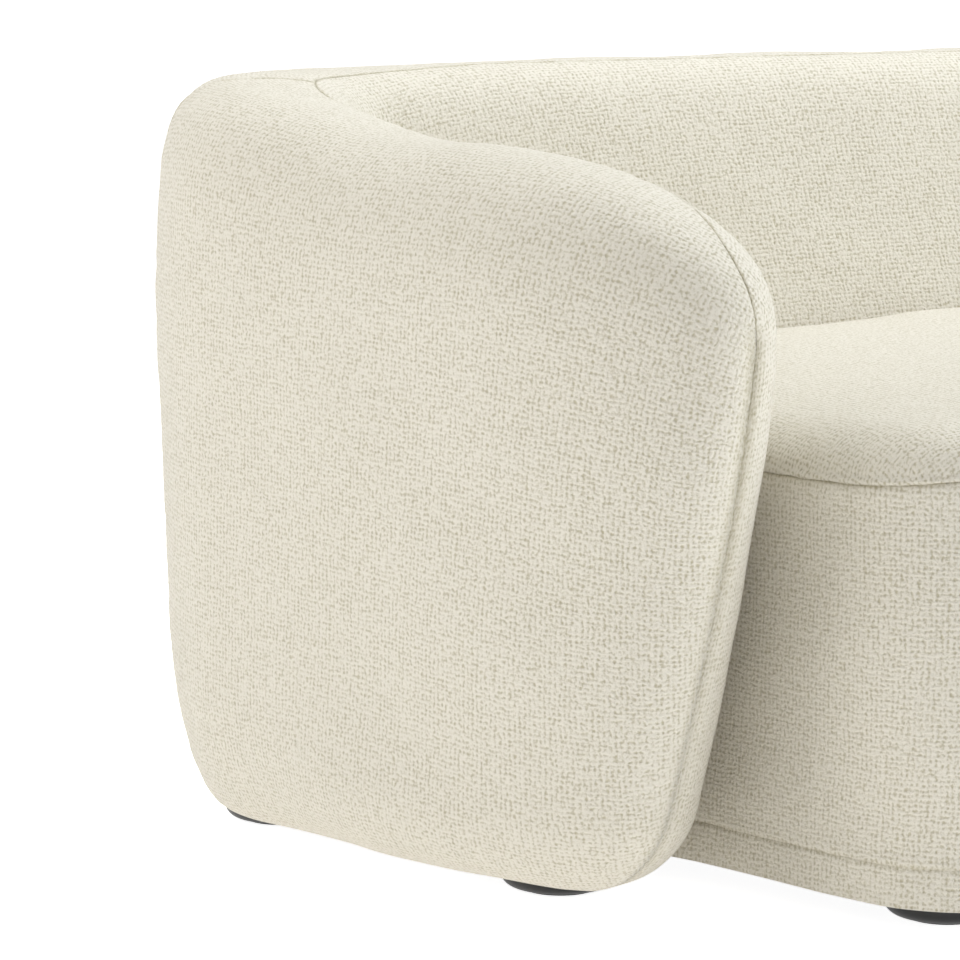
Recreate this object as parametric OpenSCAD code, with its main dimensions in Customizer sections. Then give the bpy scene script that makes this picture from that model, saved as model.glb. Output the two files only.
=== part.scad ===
// Three-seat sofa with a wrap-around shell, a fixed crowned seat and low round feet.
// Millimetres, +Z up, +Y towards the back, floor at z = 0, centred left to right and front to back.

/* [Overall] */
// Width over the arms
sofa_w = 2310; // [2200:10:2600]
// Depth from the seat front to the back
sofa_d = 1004; // [980:4:1040]
// Height of the back crest
back_h = 765; // [750:5:800]
// Height of the arm crest near the front
arm_h = 688; // [670:2:705]

/* [Shell] */
// Half thickness of the arm near its front
nose_half = 99; // [91:2:107]
// Half thickness of the arm at its middle
arm_half = 110; // [104:2:116]
// Half thickness of the back
back_half = 90; // [86:1:96]
// How far the arm front leans back towards the floor
nose_rake = 108; // [80:4:120]
// Forward bulge of the backrest at seat level
lumbar = 80; // [66:2:86]
// Inward bulge of the arm at seat level
arm_swell = 48; // [40:2:52]

/* [Seat] */
// Seam height at the seat front beside the arm
seam_z = 412; // [404:2:420]
// Rise of that seam towards the middle
seam_rise = 20; // [12:2:28]
// Height of the seat crown in the middle
crown_z = 503; // [494:1:510]
// Radius of the seat's front corners in plan
corner_r = 126; // [110:2:140]

/* [Feet] */
// Radius of a foot at its top
foot_top_r = 57; // [52:1:62]
// Radius of a foot's flat underside
foot_base_r = 39; // [34:1:42]

/* [Details] */
// Zigzag springs in each of the three bays
bay_springs = 4; // [3:1:5]
// Cloth thickness
cloth = 3; // [2.5:0.5:3.5]

/* [Hidden] */

// Levels
foot_h = 28;
board_z = 29;
board_t = 18;
wall_z = board_z + board_t;
rail_z = 590;
rail_t = 18;
fit = 0.4;

// Plan line of the shell, left half: arm, rear corner, half of the back
arm_head = 112;
arm_end_head = 100.8;
back_head = 2;
arm_len = 624;
corner_bend = 179;
half_w = sofa_w / 2;
turn = 180 / PI;
function step_x(h, k, s) = (sin(h + k * s) - sin(h)) / k * turn;
function step_y(h, k, s) = (cos(h) - cos(h + k * s)) / k * turn;
k_arm = (arm_end_head - arm_head) / arm_len;
k_corner = -turn / corner_bend;
corner_len = corner_bend * (arm_end_head - back_head) / turn;
tip_x = -half_w + 292;
arm_dx = step_x(arm_head, k_arm, arm_len);
arm_dy = step_y(arm_head, k_arm, arm_len);
corner_dx = step_x(arm_end_head, k_corner, corner_len);
corner_dy = step_y(arm_end_head, k_corner, corner_len);
back_x = tip_x + arm_dx + corner_dx;
back_r = -back_x / sin(back_head);
k_back = -turn / back_r;
back_len = back_r * back_head / turn;
half_len = arm_len + corner_len + back_len;
back_dy = step_y(back_head, k_back, back_len);
tip_y = sofa_d / 2 - back_half - arm_dy - corner_dy - back_dy;

// Position and heading on the plan line at distance s from the arm's tip
function line_at(s) =
    s < arm_len
        ? [tip_x + step_x(arm_head, k_arm, s),
           tip_y + step_y(arm_head, k_arm, s),
           arm_head + k_arm * s]
    : s < arm_len + corner_len
        ? let(c = s - arm_len)
          [tip_x + arm_dx + step_x(arm_end_head, k_corner, c),
           tip_y + arm_dy + step_y(arm_end_head, k_corner, c),
           arm_end_head + k_corner * c]
    : let(b = s - arm_len - corner_len)
      [back_x + step_x(back_head, k_back, b),
       tip_y + arm_dy + corner_dy + step_y(back_head, k_back, b),
       back_head + k_back * b];

// A point beside the plan line: positive n is outward
function beside(s, n) =
    let(p = line_at(s))
    [p[0] - sin(p[2]) * n, p[1] + cos(p[2]) * n];

function smooth(t) =
    let(u = min(1, max(0, t)))
    u * u * (3 - 2 * u);
function corner_share(s) = smooth((s - arm_len + 250) / (250 + corner_len / 2));
function back_share(s) = smooth((s - arm_len - corner_len / 2) / (corner_len / 2 + 200));
function blend(s, arm, corner, back) =
    arm + (corner - arm) * corner_share(s) + (back - corner) * back_share(s);

// Shell section: crest height, half thickness, shoulder height and roundness along the plan line
corner_h = back_h - 3.5;
mid_arm_h = arm_h + 26;
arm_shoulder = 554;
back_shoulder = 636;
outer_nose = 244;
inner_nose = 160;
rim_share = 0.6;
function crest(s) =
    blend(s, arm_h + (mid_arm_h - arm_h) * smooth(s / (0.6 * arm_len)), corner_h, back_h);
function outer_half(s) =
    blend(s, nose_half + (arm_half - nose_half) * smooth(s / (0.5 * arm_len)),
          arm_half, back_half);
function inner_half(s) =
    blend(s, nose_half - 6.5 + (arm_half - nose_half) * smooth(s / (0.5 * arm_len)),
          arm_half, back_half);
function shoulder(s) = blend(s, arm_shoulder, back_shoulder, back_shoulder);
function roundness(s) = blend(s, 2.5, 3.1, 2.7);
function nose_fill(s, length, d) =
    let(t = min(1, max(0, 1 - (s - d) / (length - d))))
    pow(max(0, 1 - pow(t, 2.2)), 1 / 2.2);

// Extra inward thickness of the arm and the backrest at height z
function swell(s, z) =
    blend(s, arm_swell * (0.48 + 0.52 * smooth(s / 300)) * smooth((631 - z) / 186),
          arm_swell * smooth((631 - z) / 186),
          lumbar * min(1, max(0, (crest(s) - 60 - z) / (crest(s) - 540))));

// Inset of the outer face where it rolls under towards the floor
function tuck(s, z) =
    let(top = blend(s, 112, 221, 150))
    let(deep = blend(s, 68, 47, 30))
    let(u = min(1, max(0, (top - z) / (top - foot_h))))
    blend(s, 0.024, 0.036, 0.02) * (shoulder(s) - z) + deep * (1 - sqrt(max(0, 1 - u * u)));

// Inward lean of the outer face near the top of the rear corner
function corner_lean(s, z) = blend(s, 0, 10.8, 0) * smooth((z - 504) / 208);

// Lowest level of the cover: down to the floor side outside, resting on the base board inside
function low_z(s, outside) =
    outside ? foot_h : foot_h + (wall_z - foot_h + 0.5) * smooth((s - 70) / 60);

// Height round the section at distance s: phi runs 0 to 0.5 up the outside, then down the inside
function share_of(phi) = 2 * (phi <= 0.5 ? phi : 1 - phi);
function rim_angle(phi) = min(90, max(0, (share_of(phi) - rim_share) / (1 - rim_share) * 90));
function section_z(s, phi, d) =
    let(low = low_z(s, phi <= 0.5))
    let(sh = shoulder(s))
    share_of(phi) < rim_share
        ? low + (sh - low) * pow(share_of(phi) / rim_share, 1.2)
        : sh + (crest(s) - d - sh) * nose_fill(s, outer_nose, d)
            * pow(sin(rim_angle(phi)), 2 / roundness(s));

// How far the raked nose sets a point back along the plan line
function set_back(s, phi, z) =
    (nose_rake * pow(max(0, (arm_shoulder - z) / (arm_shoulder - foot_h)), 1.37)
        + (share_of(phi) < rim_share ? 1.08 * tuck(s, z) : 0))
    * pow(max(0, 1 - s / arm_len), 1.2);

// Point of the left half of the shell at distance `along`, round the section by phi, at depth d
function left_point(along, phi, d) =
    let(s = along + d * max(0, 1 - along / outer_nose))
    let(outside = phi <= 0.5)
    let(side = share_of(phi) < rim_share)
    let(z = section_z(s, phi, d))
    let(across = (outside ? outer_half(s) - corner_lean(s, z) : inner_half(s)) - d)
    let(fill = nose_fill(s, outside ? outer_nose : inner_nose, d))
    let(wide = side ? 1 : pow(max(0, cos(rim_angle(phi))), 2 / roundness(s)))
    let(roll = side ? tuck(s, z) : 0)
    let(n = outside ? across * wide - roll : -(across * wide - 0.19 * roll + swell(s, z)))
    let(p = beside(s + set_back(s, phi, z), n * fill))
    [p[0], p[1], z];

// The distance whose point, once set back, stands at `target` along the plan line
function before_rake(target, phi, guess, n) =
    n == 0 ? guess
        : before_rake(target, phi, target - set_back(guess, phi, section_z(guess, phi, 0)), n - 1);
function upright_point(target, phi, d) =
    left_point(max(0, before_rake(target, phi, target, 6)), phi, d);
function shell_point(s, phi, d) =
    s <= half_len
        ? left_point(s, phi, d)
        : let(p = left_point(2 * half_len - s, phi, d)) [-p[0], p[1], p[2]];

// The seam between the outer and inner cloth, just inside the crest along the arms
function seam_phi(s) =
    let(t = min(s, 2 * half_len - s))
    0.5 + 0.045 * smooth(t / 150) * (1 - smooth((t - arm_len + 100) / 250));

// Faces of a closed sheet between two grids of the same size. In the first row, and in row `last`,
// places before `low` or past `high` share one point, where the two sides of the nose meet.
function spot(i, j, cols, low, high, last) =
    i * cols + (i == 0 || i == last ? max(low, min(high, j)) : j);
function cell(a, b, c, d) =
    [if (a != b && b != c && a != c) [a, c, b], if (a != c && c != d && a != d) [a, d, c]];
function flat(lists) = [for (l = lists) for (e = l) e];
function sheet_faces(rows, cols, low, high, last) =
    let(m = rows * cols)
    let(at = function(i, j) spot(i, j, cols, low, high, last))
    flat(concat(
        [for (i = [0:rows - 2]) for (j = [0:cols - 2])
            cell(at(i, j), at(i, j + 1), at(i + 1, j + 1), at(i + 1, j))],
        [for (i = [0:rows - 2]) for (j = [0:cols - 2])
            cell(m + at(i, j), m + at(i + 1, j), m + at(i + 1, j + 1), m + at(i, j + 1))],
        [for (j = [0:cols - 2])
            cell(at(0, j + 1), at(0, j), m + at(0, j), m + at(0, j + 1))],
        [for (j = [0:cols - 2])
            cell(at(rows - 1, j), at(rows - 1, j + 1),
                 m + at(rows - 1, j + 1), m + at(rows - 1, j))],
        [for (i = [0:rows - 2])
            cell(at(i, 0), at(i + 1, 0), m + at(i + 1, 0), m + at(i, 0))],
        [for (i = [0:rows - 2])
            cell(at(i + 1, cols - 1), at(i, cols - 1),
                 m + at(i, cols - 1), m + at(i + 1, cols - 1))]
    ));

// A closed sheet from an outer and an inner grid, each a list of rows
module sheet(outer, inner, low = 0, high = 1000, last = -1) {
    rows = len(outer);
    cols = len(outer[0]);
    polyhedron(points = concat(flat(outer), flat(inner)),
               faces = sheet_faces(rows, cols, low, high, last), convexity = 8);
}

// A closed band that runs all the way round: the last row of each grid meets the first
module band(outer, inner) {
    rows = len(outer);
    cols = len(outer[0]);
    m = rows * cols;
    at = function(i, j) (i % rows) * cols + j;
    polyhedron(points = concat(flat(outer), flat(inner)), convexity = 8,
        faces = flat(concat(
            [for (i = [0:rows - 1]) for (j = [0:cols - 2])
                cell(at(i, j), at(i, j + 1), at(i + 1, j + 1), at(i + 1, j))],
            [for (i = [0:rows - 1]) for (j = [0:cols - 2])
                cell(m + at(i, j), m + at(i + 1, j), m + at(i + 1, j + 1), m + at(i, j + 1))],
            [for (i = [0:rows - 1])
                cell(at(i, 0), at(i + 1, 0), m + at(i + 1, 0), m + at(i, 0))],
            [for (i = [0:rows - 1])
                cell(at(i + 1, cols - 1), at(i, cols - 1),
                     m + at(i, cols - 1), m + at(i + 1, cols - 1))]
        )));
}

// Stations along the plan line
function span(a, b, n) = [for (i = [0:n]) a + (b - a) * i / n];
function rest(list) = [for (i = [1:len(list) - 1]) list[i]];
function mirrored(list) =
    concat(list, [for (i = [len(list) - 2:-1:0]) 2 * half_len - list[i]]);
corner_a = arm_len - 60;
corner_b = arm_len + corner_len + 60;
nose_stops = [for (i = [0:8]) outer_nose * (1 - cos(11.25 * i))];
arm_stops = span(outer_nose, corner_a, 5);
corner_stops = span(corner_a, corner_b, 10);
back_stops = span(corner_b, half_len, 5);
left_stops = concat(nose_stops, rest(arm_stops), rest(corner_stops), rest(back_stops));
seam_split = corner_stops[5];

// Cloth over the shell
cream = [0.86, 0.84, 0.79];
foam_colour = [0.93, 0.90, 0.74];
ply_colour = [0.78, 0.66, 0.47];
steel_colour = [0.62, 0.63, 0.65];
black_wood = [0.06, 0.055, 0.05];
function outer_rows(stops, d) =
    [for (s = stops)
        let(edge = s <= half_len ? seam_phi(s) : seam_phi(2 * half_len - s))
        [for (j = [0:10]) shell_point(s, edge * j / 10, d)]];
function inner_rows(stops, d) =
    [for (s = stops) [for (j = [0:10]) shell_point(s, seam_phi(s) + (1 - seam_phi(s)) * j / 10, d)]];

module arm_outer_cover() {
    stops = [for (s = left_stops) if (s <= seam_split) s];
    color(cream)
        sheet(outer_rows(stops, 0), outer_rows(stops, cloth), 0, 6);
}
module arm_outer_cover_left() arm_outer_cover();
module arm_outer_cover_right() mirror([1, 0, 0]) arm_outer_cover();

module back_outer_cover() {
    stops = [for (s = mirrored(left_stops))
        if (s >= seam_split && s <= 2 * half_len - seam_split) s];
    color(cream)
        sheet(outer_rows(stops, 0), outer_rows(stops, cloth));
}

module inner_cover() {
    stops = mirrored(left_stops);
    color(cream)
        sheet(inner_rows(stops, 0), inner_rows(stops, cloth), 4, 10, len(stops) - 1);
}

// Foam round the frame. The space for the frame is bounded by cavity_out, cavity_in and cavity_top.
cavity_out = 18.5;
cavity_in = 84.5;
cavity_top = rail_z + rail_t + 0.5;
foam_d = cloth + 3.2;
frame_a = outer_nose + 20;
function foam_low(outside) = outside ? foot_h + 0.5 : wall_z + 0.5;
function raised(p, low) = [p[0], p[1], max(p[2], low)];
function cavity_point(s, j) =
    // j runs 0..20: up the outer side, over the top, down the inner side
    let(wide = cavity_out + 2.5 * corner_share(s) * (1 - back_share(s)))
    let(n = j <= 7 ? wide : j >= 13 ? -cavity_in : wide - (wide + cavity_in) * (j - 7) / 6)
    let(low = foam_low(j <= 10))
    let(f = j <= 7 ? j / 7 : j >= 13 ? (20 - j) / 7 : 1)
    let(p = beside(s, n))
    [p[0], p[1], low + (cavity_top - low) * f];
function foam_phi(s, j) =
    j <= 10 ? seam_phi(s) * j / 10 : seam_phi(s) + (1 - seam_phi(s)) * (j - 10) / 10;
function foam_point(s, j) = raised(upright_point(s, foam_phi(s, j), foam_d), foam_low(j <= 10));
function flip_x(p) = [-p[0], p[1], p[2]];
function foam_rows(stops) =
    [for (s = stops) [for (j = [0:20])
        s <= half_len ? foam_point(s, j) : flip_x(foam_point(2 * half_len - s, j))]];
function cavity_rows(stops) =
    [for (s = stops) [for (j = [0:20])
        s <= half_len ? cavity_point(s, j) : flip_x(cavity_point(2 * half_len - s, j))]];

module shell_foam(stops) {
    color(foam_colour)
        sheet(foam_rows(stops), cavity_rows(stops));
}
module arm_foam() shell_foam(span(frame_a - 1, corner_a, 6));
module arm_foam_left() arm_foam();
module arm_foam_right() mirror([1, 0, 0]) arm_foam();
module corner_foam() shell_foam(concat([corner_a + fit], rest(corner_stops)));
module corner_foam_left() corner_foam();
module corner_foam_right() mirror([1, 0, 0]) corner_foam();
module back_foam() {
    half = concat([corner_b + fit], rest(back_stops));
    shell_foam(mirrored(half));
}

// Solid foam nose in front of the frame, from the raked tip to an upright back face
nose_end = frame_a - 6;
function nose_rows(side) =
    [for (i = [0:8]) [for (j = [0:10])
        let(seam = seam_phi(nose_stops[i]))
        let(phi = side == 0 ? seam * j / 10 : 1 - (1 - seam) * j / 10)
        let(end = before_rake(nose_end, phi, nose_end, 6))
        raised(left_point(end * (1 - cos(11.25 * i)), phi, foam_d), wall_z + 0.5)]];
module nose_foam() {
    color(foam_colour)
        nose_solid(nose_rows(0), nose_rows(1));
}
module nose_solid(outer, inner) {
    rows = len(outer);
    cols = len(outer[0]);
    m = rows * cols;
    // The two faces share their first row up to the shoulder and their whole crest
    at = function(i, j) i * cols + (i == 0 ? min(6, j) : j);
    in = function(i, j) i == 0 || j == cols - 1 ? at(i, j) : m + i * cols + j;
    polyhedron(points = concat(flat(outer), flat(inner)), convexity = 8,
        faces = flat(concat(
            [for (i = [0:rows - 2]) for (j = [0:cols - 2])
                cell(at(i, j), at(i, j + 1), at(i + 1, j + 1), at(i + 1, j))],
            [for (i = [0:rows - 2]) for (j = [0:cols - 2])
                cell(in(i, j), in(i + 1, j), in(i + 1, j + 1), in(i, j + 1))],
            [for (i = [0:rows - 2])
                cell(at(i, 0), at(i + 1, 0), in(i + 1, 0), in(i, 0))],
            [for (j = [0:cols - 2])
                cell(at(rows - 1, j), at(rows - 1, j + 1), in(rows - 1, j + 1), in(rows - 1, j))]
        )));
}
module nose_foam_left() nose_foam();
module nose_foam_right() mirror([1, 0, 0]) nose_foam();

// Plan of a board that follows the shell from distance `a` at the left to the same place at the
// right, between offsets n1 (outer) and n2 (inner)
function flip_plan(p) = [-p[0], p[1]];
function backwards(list) = [for (i = [len(list) - 1:-1:0]) list[i]];
board_stops_from = function(a) concat(
    span(a, arm_len, 6),
    rest(span(arm_len, arm_len + corner_len, 20)),
    rest(span(arm_len + corner_len, half_len, 4)));
function shell_plan(a, n1, n2) =
    let(out = [for (s = board_stops_from(a)) beside(s, n1)])
    let(in = [for (s = board_stops_from(a)) beside(s, n2)])
    concat(out, rest(backwards([for (p = out) flip_plan(p)])),
           [for (p = in) flip_plan(p)], rest(backwards(in)));
module shell_board(a, n1, n2, z, h) {
    translate([0, 0, z])
        linear_extrude(height = h)
            polygon(shell_plan(a, n1, n2));
}

// Frame of the shell
frame_out = 18;
frame_in = -84;
lining_t = 6;
rib_stops = concat(span(360, arm_len - 20, 2),
    [arm_len + 0.3 * corner_len, arm_len + 0.7 * corner_len],
    span(arm_len + corner_len + 60, half_len - 150, 3));
screw_r = 2.5;
screw_len = 55;

module shell_outer_lining() {
    color(ply_colour)
        shell_board(frame_a, frame_out, frame_out - lining_t, wall_z, rail_z - wall_z);
}
module shell_inner_lining() {
    color(ply_colour)
        shell_board(frame_a, frame_in + lining_t, frame_in, wall_z, rail_z - wall_z);
}
module at_rib(s) {
    for (side = [0, 1])
        mirror([side, 0, 0])
            translate(concat(beside(s, (frame_out + frame_in) / 2), [0]))
                rotate([0, 0, line_at(s)[2]])
                    children();
}
rib_deep = frame_out - frame_in - 2 * lining_t - 1.2;
rib_t = 18;
module shell_top_rail() {
    color(ply_colour)
        difference() {
            shell_board(frame_a, frame_out, frame_in, rail_z, rail_t);
            for (s = rib_stops)
                at_rib(s)
                    translate([0, 0, rail_z - 1])
                        cylinder(r = screw_r + 0.05, h = rail_t + 2, $fn = 24);
        }
}
module shell_ribs() {
    color(ply_colour)
        for (s = rib_stops)
            at_rib(s)
                difference() {
                    translate([-rib_t / 2, -rib_deep / 2, wall_z])
                        cube([rib_t, rib_deep, rail_z - wall_z]);
                    translate([0, 0, rail_z - screw_len])
                        cylinder(r = screw_r + 0.05, h = screw_len + 1, $fn = 24);
                }
}
module arm_front_posts() {
    color([0.70, 0.55, 0.36])
        at_rib(frame_a + 14)
            translate([-14, -rib_deep / 2, wall_z])
                cube([28, rib_deep, rail_z - wall_z]);
}
module frame_screws() {
    color(steel_colour)
        for (s = rib_stops)
            at_rib(s) {
                translate([0, 0, rail_z + rail_t - screw_len])
                    cylinder(r = screw_r, h = screw_len, $fn = 24);
            }
}

// Seat outline, left half: rear centre, rear corner, side, front corner, front centre
seat_gap = 1.5;
side_lean = 13.5;
corner_mid = arm_len + corner_len / 2;
corner_end = arm_len + corner_len;
flare = 12;
front_x = -half_w + 423;
front_y = -sofa_d / 2 + 116.5;
front_mid = -sofa_d / 2 + flare;
side_x = front_x - 53;
side_y = front_y + 220;
sweep = 90 - side_lean;
centre_x = front_x + corner_r * cos(side_lean);
centre_y = front_y + corner_r * sin(side_lean);
function seat_side(s) = -(inner_half(s) + swell(s, 200) + seat_gap);
function corner_point(a) =
    [centre_x + corner_r * sin(a - sweep), centre_y - corner_r * cos(a - sweep)];
function front_point(t) =
    let(a = corner_point(sweep))
    [a[0] * (1 - t), a[1] + (front_mid - a[1]) * smooth(t)];
half_outline = concat(
    [for (s = span(half_len, corner_end + 110, 7)) beside(s, seat_side(s))],
    [for (s = [corner_end + 70, corner_end + 40, corner_end + 15, corner_end, corner_mid])
        beside(s, seat_side(s))],
    [for (s = [arm_len - 10, arm_len - 50, 500, 400, 290]) beside(s, seat_side(s))],
    [[side_x, side_y], [(side_x + front_x) / 2, (side_y + front_y) / 2], [front_x, front_y]],
    [for (i = [1:8]) corner_point(sweep * i / 8)],
    [for (i = [1:8]) front_point(i / 8)]
);
turns = len(half_outline) - 1;
outline = concat(half_outline,
                 [for (i = [turns - 1:-1:1]) flip_plan(half_outline[i])]);
loop = len(outline);
function fold(k) = let(m = (k + loop) % loop) m <= turns ? m : loop - m;
function seat_point(k, off) =
    let(p = outline[(k + loop) % loop])
    let(a = outline[(k + loop - 1) % loop])
    let(b = outline[(k + 1) % loop])
    let(t = (b - a) / norm(b - a))
    [p[0] + t[1] * off, p[1] - t[0] * off];
// The same outline further in, with its rear corners cut off, for the boards and the foam
cut_a = 7;
cut_b = 15;
function inner_point(k, d) =
    let(m = fold(k))
    let(a = seat_point(cut_a, -d))
    let(b = seat_point(cut_b, -d))
    let(p = m > cut_a && m < cut_b
        ? a + (b - a) * (m - cut_a) / (cut_b - cut_a) : seat_point(m, -d))
    (k + loop) % loop <= turns ? p : flip_plan(p);
function front_share(k) = smooth((fold(k) - 17) / 3);
function flare_at(k, z) = flare * front_share(k) * smooth((z - foot_h) / 260);
function seam_at(k) =
    let(m = fold(k))
    seam_z + (m >= 17 ? seam_rise * smooth((m - 17) / 13) : seam_rise * smooth((17 - m) / 8));

// The seat's border, z levels from low to high at depth d below the cloth's face
hem_z = 67;
function border_rows(ks, low, top_drop, d, flared = 1) =
    [for (k = ks) [for (j = [0:4])
        let(top = seam_at(k) - top_drop)
        let(z = low + (top - low) * j / 4)
        let(p = seat_point(k, flared * flare_at(k, z) - d))
        [p[0], p[1], z]]];
all_k = [for (k = [0:loop - 1]) k];
module seat_border_cover() {
    color(cream)
        band(border_rows(all_k, hem_z + 0.3, 0, cloth), border_rows(all_k, hem_z + 0.3, 0, 0));
}
padding_in = 17;
foam_line = padding_in + 0.8;
function padding_top(k) = let(m = fold(k)) m > cut_a - 1 && m < 18 ? seam_z - fit : seam_at(k) - fit;
function padding_rows(outer) =
    [for (k = all_k) [for (j = [0:4])
        let(low = hem_z + 0.5)
        let(z = low + (padding_top(k) - low) * j / 4)
        concat(outer ? seat_point(k, flare_at(k, z) - cloth - fit) : inner_point(k, padding_in),
               [z])]];
module border_padding() {
    color(foam_colour)
        band(padding_rows(false), padding_rows(true));
}
function hem_rows(ks, d) =
    [for (k = ks) [for (z = [foot_h, hem_z]) concat(seat_point(k, flare_at(k, z) - d), [z])]];
module hem_band() {
    ks = [for (k = [18:loop - 18]) k];
    color(cream)
        sheet(hem_rows(ks, cloth), hem_rows(ks, 0));
}

// The crowned top. Columns run from the left to the right, rows from the front to the back.
front_k = [for (i = [0:24]) 24 + i];
rear_k = [for (i = [0:24]) (12 - i + loop) % loop];
left_k = [for (j = [0:12]) 24 - j];
right_k = [for (j = [0:12]) 48 + j];
function edge_point(k, d) =
    d > foam_line ? concat(inner_point(k, foam_line), [seam_at(k)])
        : concat(seat_point(k, flare_at(k, seam_at(k)) - d), [seam_at(k)]);
function round_over(t) = sqrt(1 - pow(1 - min(1, max(0, t)), 2));
function crown(x) = crown_z - 50 * pow(abs(x) / 800, 2.2);
function top_rows(d) =
    let(f = [for (k = front_k) edge_point(k, d)])
    let(r = [for (k = rear_k) edge_point(k, d)])
    let(a = [for (k = left_k) edge_point(k, d)])
    let(b = [for (k = right_k) edge_point(k, d)])
    [for (i = [0:24]) [for (j = [0:12])
        let(u = (f[i][0] - f[0][0]) / (f[24][0] - f[0][0]))
        let(v = (a[j][1] - a[0][1]) / (a[12][1] - a[0][1]))
        let(p = (1 - v) * f[i] + v * r[i] + (1 - u) * a[j] + u * b[j]
            - ((1 - u) * (1 - v) * f[0] + u * (1 - v) * f[24]
               + (1 - u) * v * r[0] + u * v * r[24]))
        let(rise = round_over(min(u, 1 - u) * 1500 / 60) * round_over(v * 720 / 80)
            * round_over((1 - v) * 720 / 40))
        [p[0], p[1], p[2] + (crown(p[0]) - d - p[2]) * rise]]];
function flat_rows(rows, z) = [for (r = rows) [for (p = r) [p[0], p[1], z]]];
module seat_top_cover() {
    color(cream)
        sheet(top_rows(cloth), top_rows(0));
}
wad = 13;
module crown_wadding() {
    color([0.95, 0.95, 0.93])
        sheet(top_rows(cloth + fit + wad), top_rows(cloth + fit));
}
foam_z = 353;
module seat_foam() {
    rows = top_rows(cloth + wad + 6);
    color(foam_colour)
        sheet(flat_rows(rows, foam_z), rows);
}

// Seat structure
deck_z = 327;
deck_t = 18;
bay_w = 380;
rail_w = 40;
bay_front = -390;
bay_back = 130;
bay_x = [-(bay_w + rail_w), 0, bay_w + rail_w];
function inset_outline(d) = [for (k = all_k) inner_point(k, d)];
module seat_wall() {
    color(ply_colour)
        translate([0, 0, wall_z])
            linear_extrude(height = deck_z - wall_z)
                difference() {
                    polygon(inset_outline(foam_line));
                    polygon(inset_outline(foam_line + 12));
                }
}
module seat_deck_frame() {
    color(ply_colour)
        translate([0, 0, deck_z])
            linear_extrude(height = deck_t)
                difference() {
                    polygon(inset_outline(foam_line));
                    for (x = bay_x)
                        translate([x - bay_w / 2, bay_front])
                            square([bay_w, bay_back - bay_front]);
                }
}
beam_x = (bay_w + rail_w) / 2;
module seat_cross_beams() {
    color([0.70, 0.55, 0.36])
        for (x = [-beam_x, beam_x]) {
            translate([x - 20, bay_front - 40, deck_z - 60])
                cube([40, bay_back - bay_front + 80, 60]);
            for (y = [bay_front - 20, bay_back - 20])
                translate([x - 20, y, wall_z])
                    cube([40, 40, deck_z - 60 - wall_z]);
        }
}
module seat_corner_blocks() {
    color([0.70, 0.55, 0.36])
        for (side = [-1, 1])
            for (p = [[640, -310], [700, 60]])
                translate([side * p[0] - 20, p[1] - 20, wall_z])
                    cube([40, 40, deck_z - wall_z]);
}

// Zigzag springs: flat wire running front to back, held by a clip at each end
wire = 3.6;
zig = 22;
waves = 9;
deck_top = deck_z + deck_t;
spring_reach = (bay_back - bay_front) / 2 + 14;
spring_mid = (bay_back + bay_front) / 2;
spring_x = [for (x = bay_x) for (i = [0:bay_springs - 1])
    x + (i - (bay_springs - 1) / 2) * bay_w / bay_springs];
function wave_x(t) = zig * sin(180 * waves * t) * smooth(min(t, 1 - t) * 12);
wave_n = waves * 8;
function wave_line(i) =
    [wave_x(i / wave_n), -spring_reach + 24 + (2 * spring_reach - 48) * i / wave_n];
wave_path = concat([[0, -spring_reach], [0, -spring_reach + 12]],
    [for (i = [0:wave_n]) wave_line(i)], [[0, spring_reach - 12], [0, spring_reach]]);
function path_side(off) =
    [for (i = [0:len(wave_path) - 1])
        let(a = wave_path[max(0, i - 1)])
        let(b = wave_path[min(len(wave_path) - 1, i + 1)])
        let(t = (b - a) / norm(b - a))
        wave_path[i] + off * [-t[1], t[0]]];
module zigzag_springs() {
    color(steel_colour)
        for (x = spring_x)
            translate([x, spring_mid, deck_top])
                linear_extrude(height = wire)
                    polygon(concat(path_side(wire / 2), backwards(path_side(-wire / 2))));
}
module spring_clips() {
    color(steel_colour)
        for (x = spring_x)
            for (end = [-1, 1])
                translate([x, spring_mid + end * (spring_reach - 6), deck_top])
                    difference() {
                        translate([-9, -7, 0])
                            cube([18, 14, 6]);
                        translate([-wire / 2 - 0.2, -8, -1])
                            cube([wire + 0.4, 16, wire + 1.2]);
                    }
}
module spring_tie_strips() {
    color(steel_colour)
        for (x = bay_x)
            for (y = [-110, 0, 110])
                translate([x - bay_w / 2 + 2, spring_mid + y - 4, deck_top - 1.5])
                    cube([bay_w - 4, 8, 1.5]);
}
module deck_felt() {
    color([0.55, 0.55, 0.52])
        translate([0, 0, deck_top + 6])
            linear_extrude(height = 2)
                polygon(inset_outline(padding_in + 4));
}

// Base board: one piece under the arms, back and seat
half_board = concat(
    [for (k = [turns:-1:18]) seat_point(k, -cloth - 1.5)],
    [seat_point(17, -cloth - 1.5), beside(300, -132), beside(240, -92), beside(226, -40),
     beside(234, 2), beside(264, frame_out - 7)],
    [for (s = board_stops_from(300)) beside(s, frame_out - 5 * (1 - smooth((s - 300) / 150)))]
);
board_plan = concat(half_board, rest(backwards([for (p = half_board) flip_plan(p)])));
feet = [
    ["foot_arm_left", -896, -106], ["foot_arm_right", 896, -106],
    ["foot_seat_left", -631, -373], ["foot_seat_right", 631, -373],
    ["foot_corner_left", -1004, 301], ["foot_corner_right", 1004, 301],
    ["foot_back_middle", 0, 358], ["foot_deck_middle", 0, -60]
];
bolt_r = 4;
barrel_r = 5.5;
module at_feet() {
    for (f = feet)
        translate([f[1], f[2], 0])
            children();
}
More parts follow.
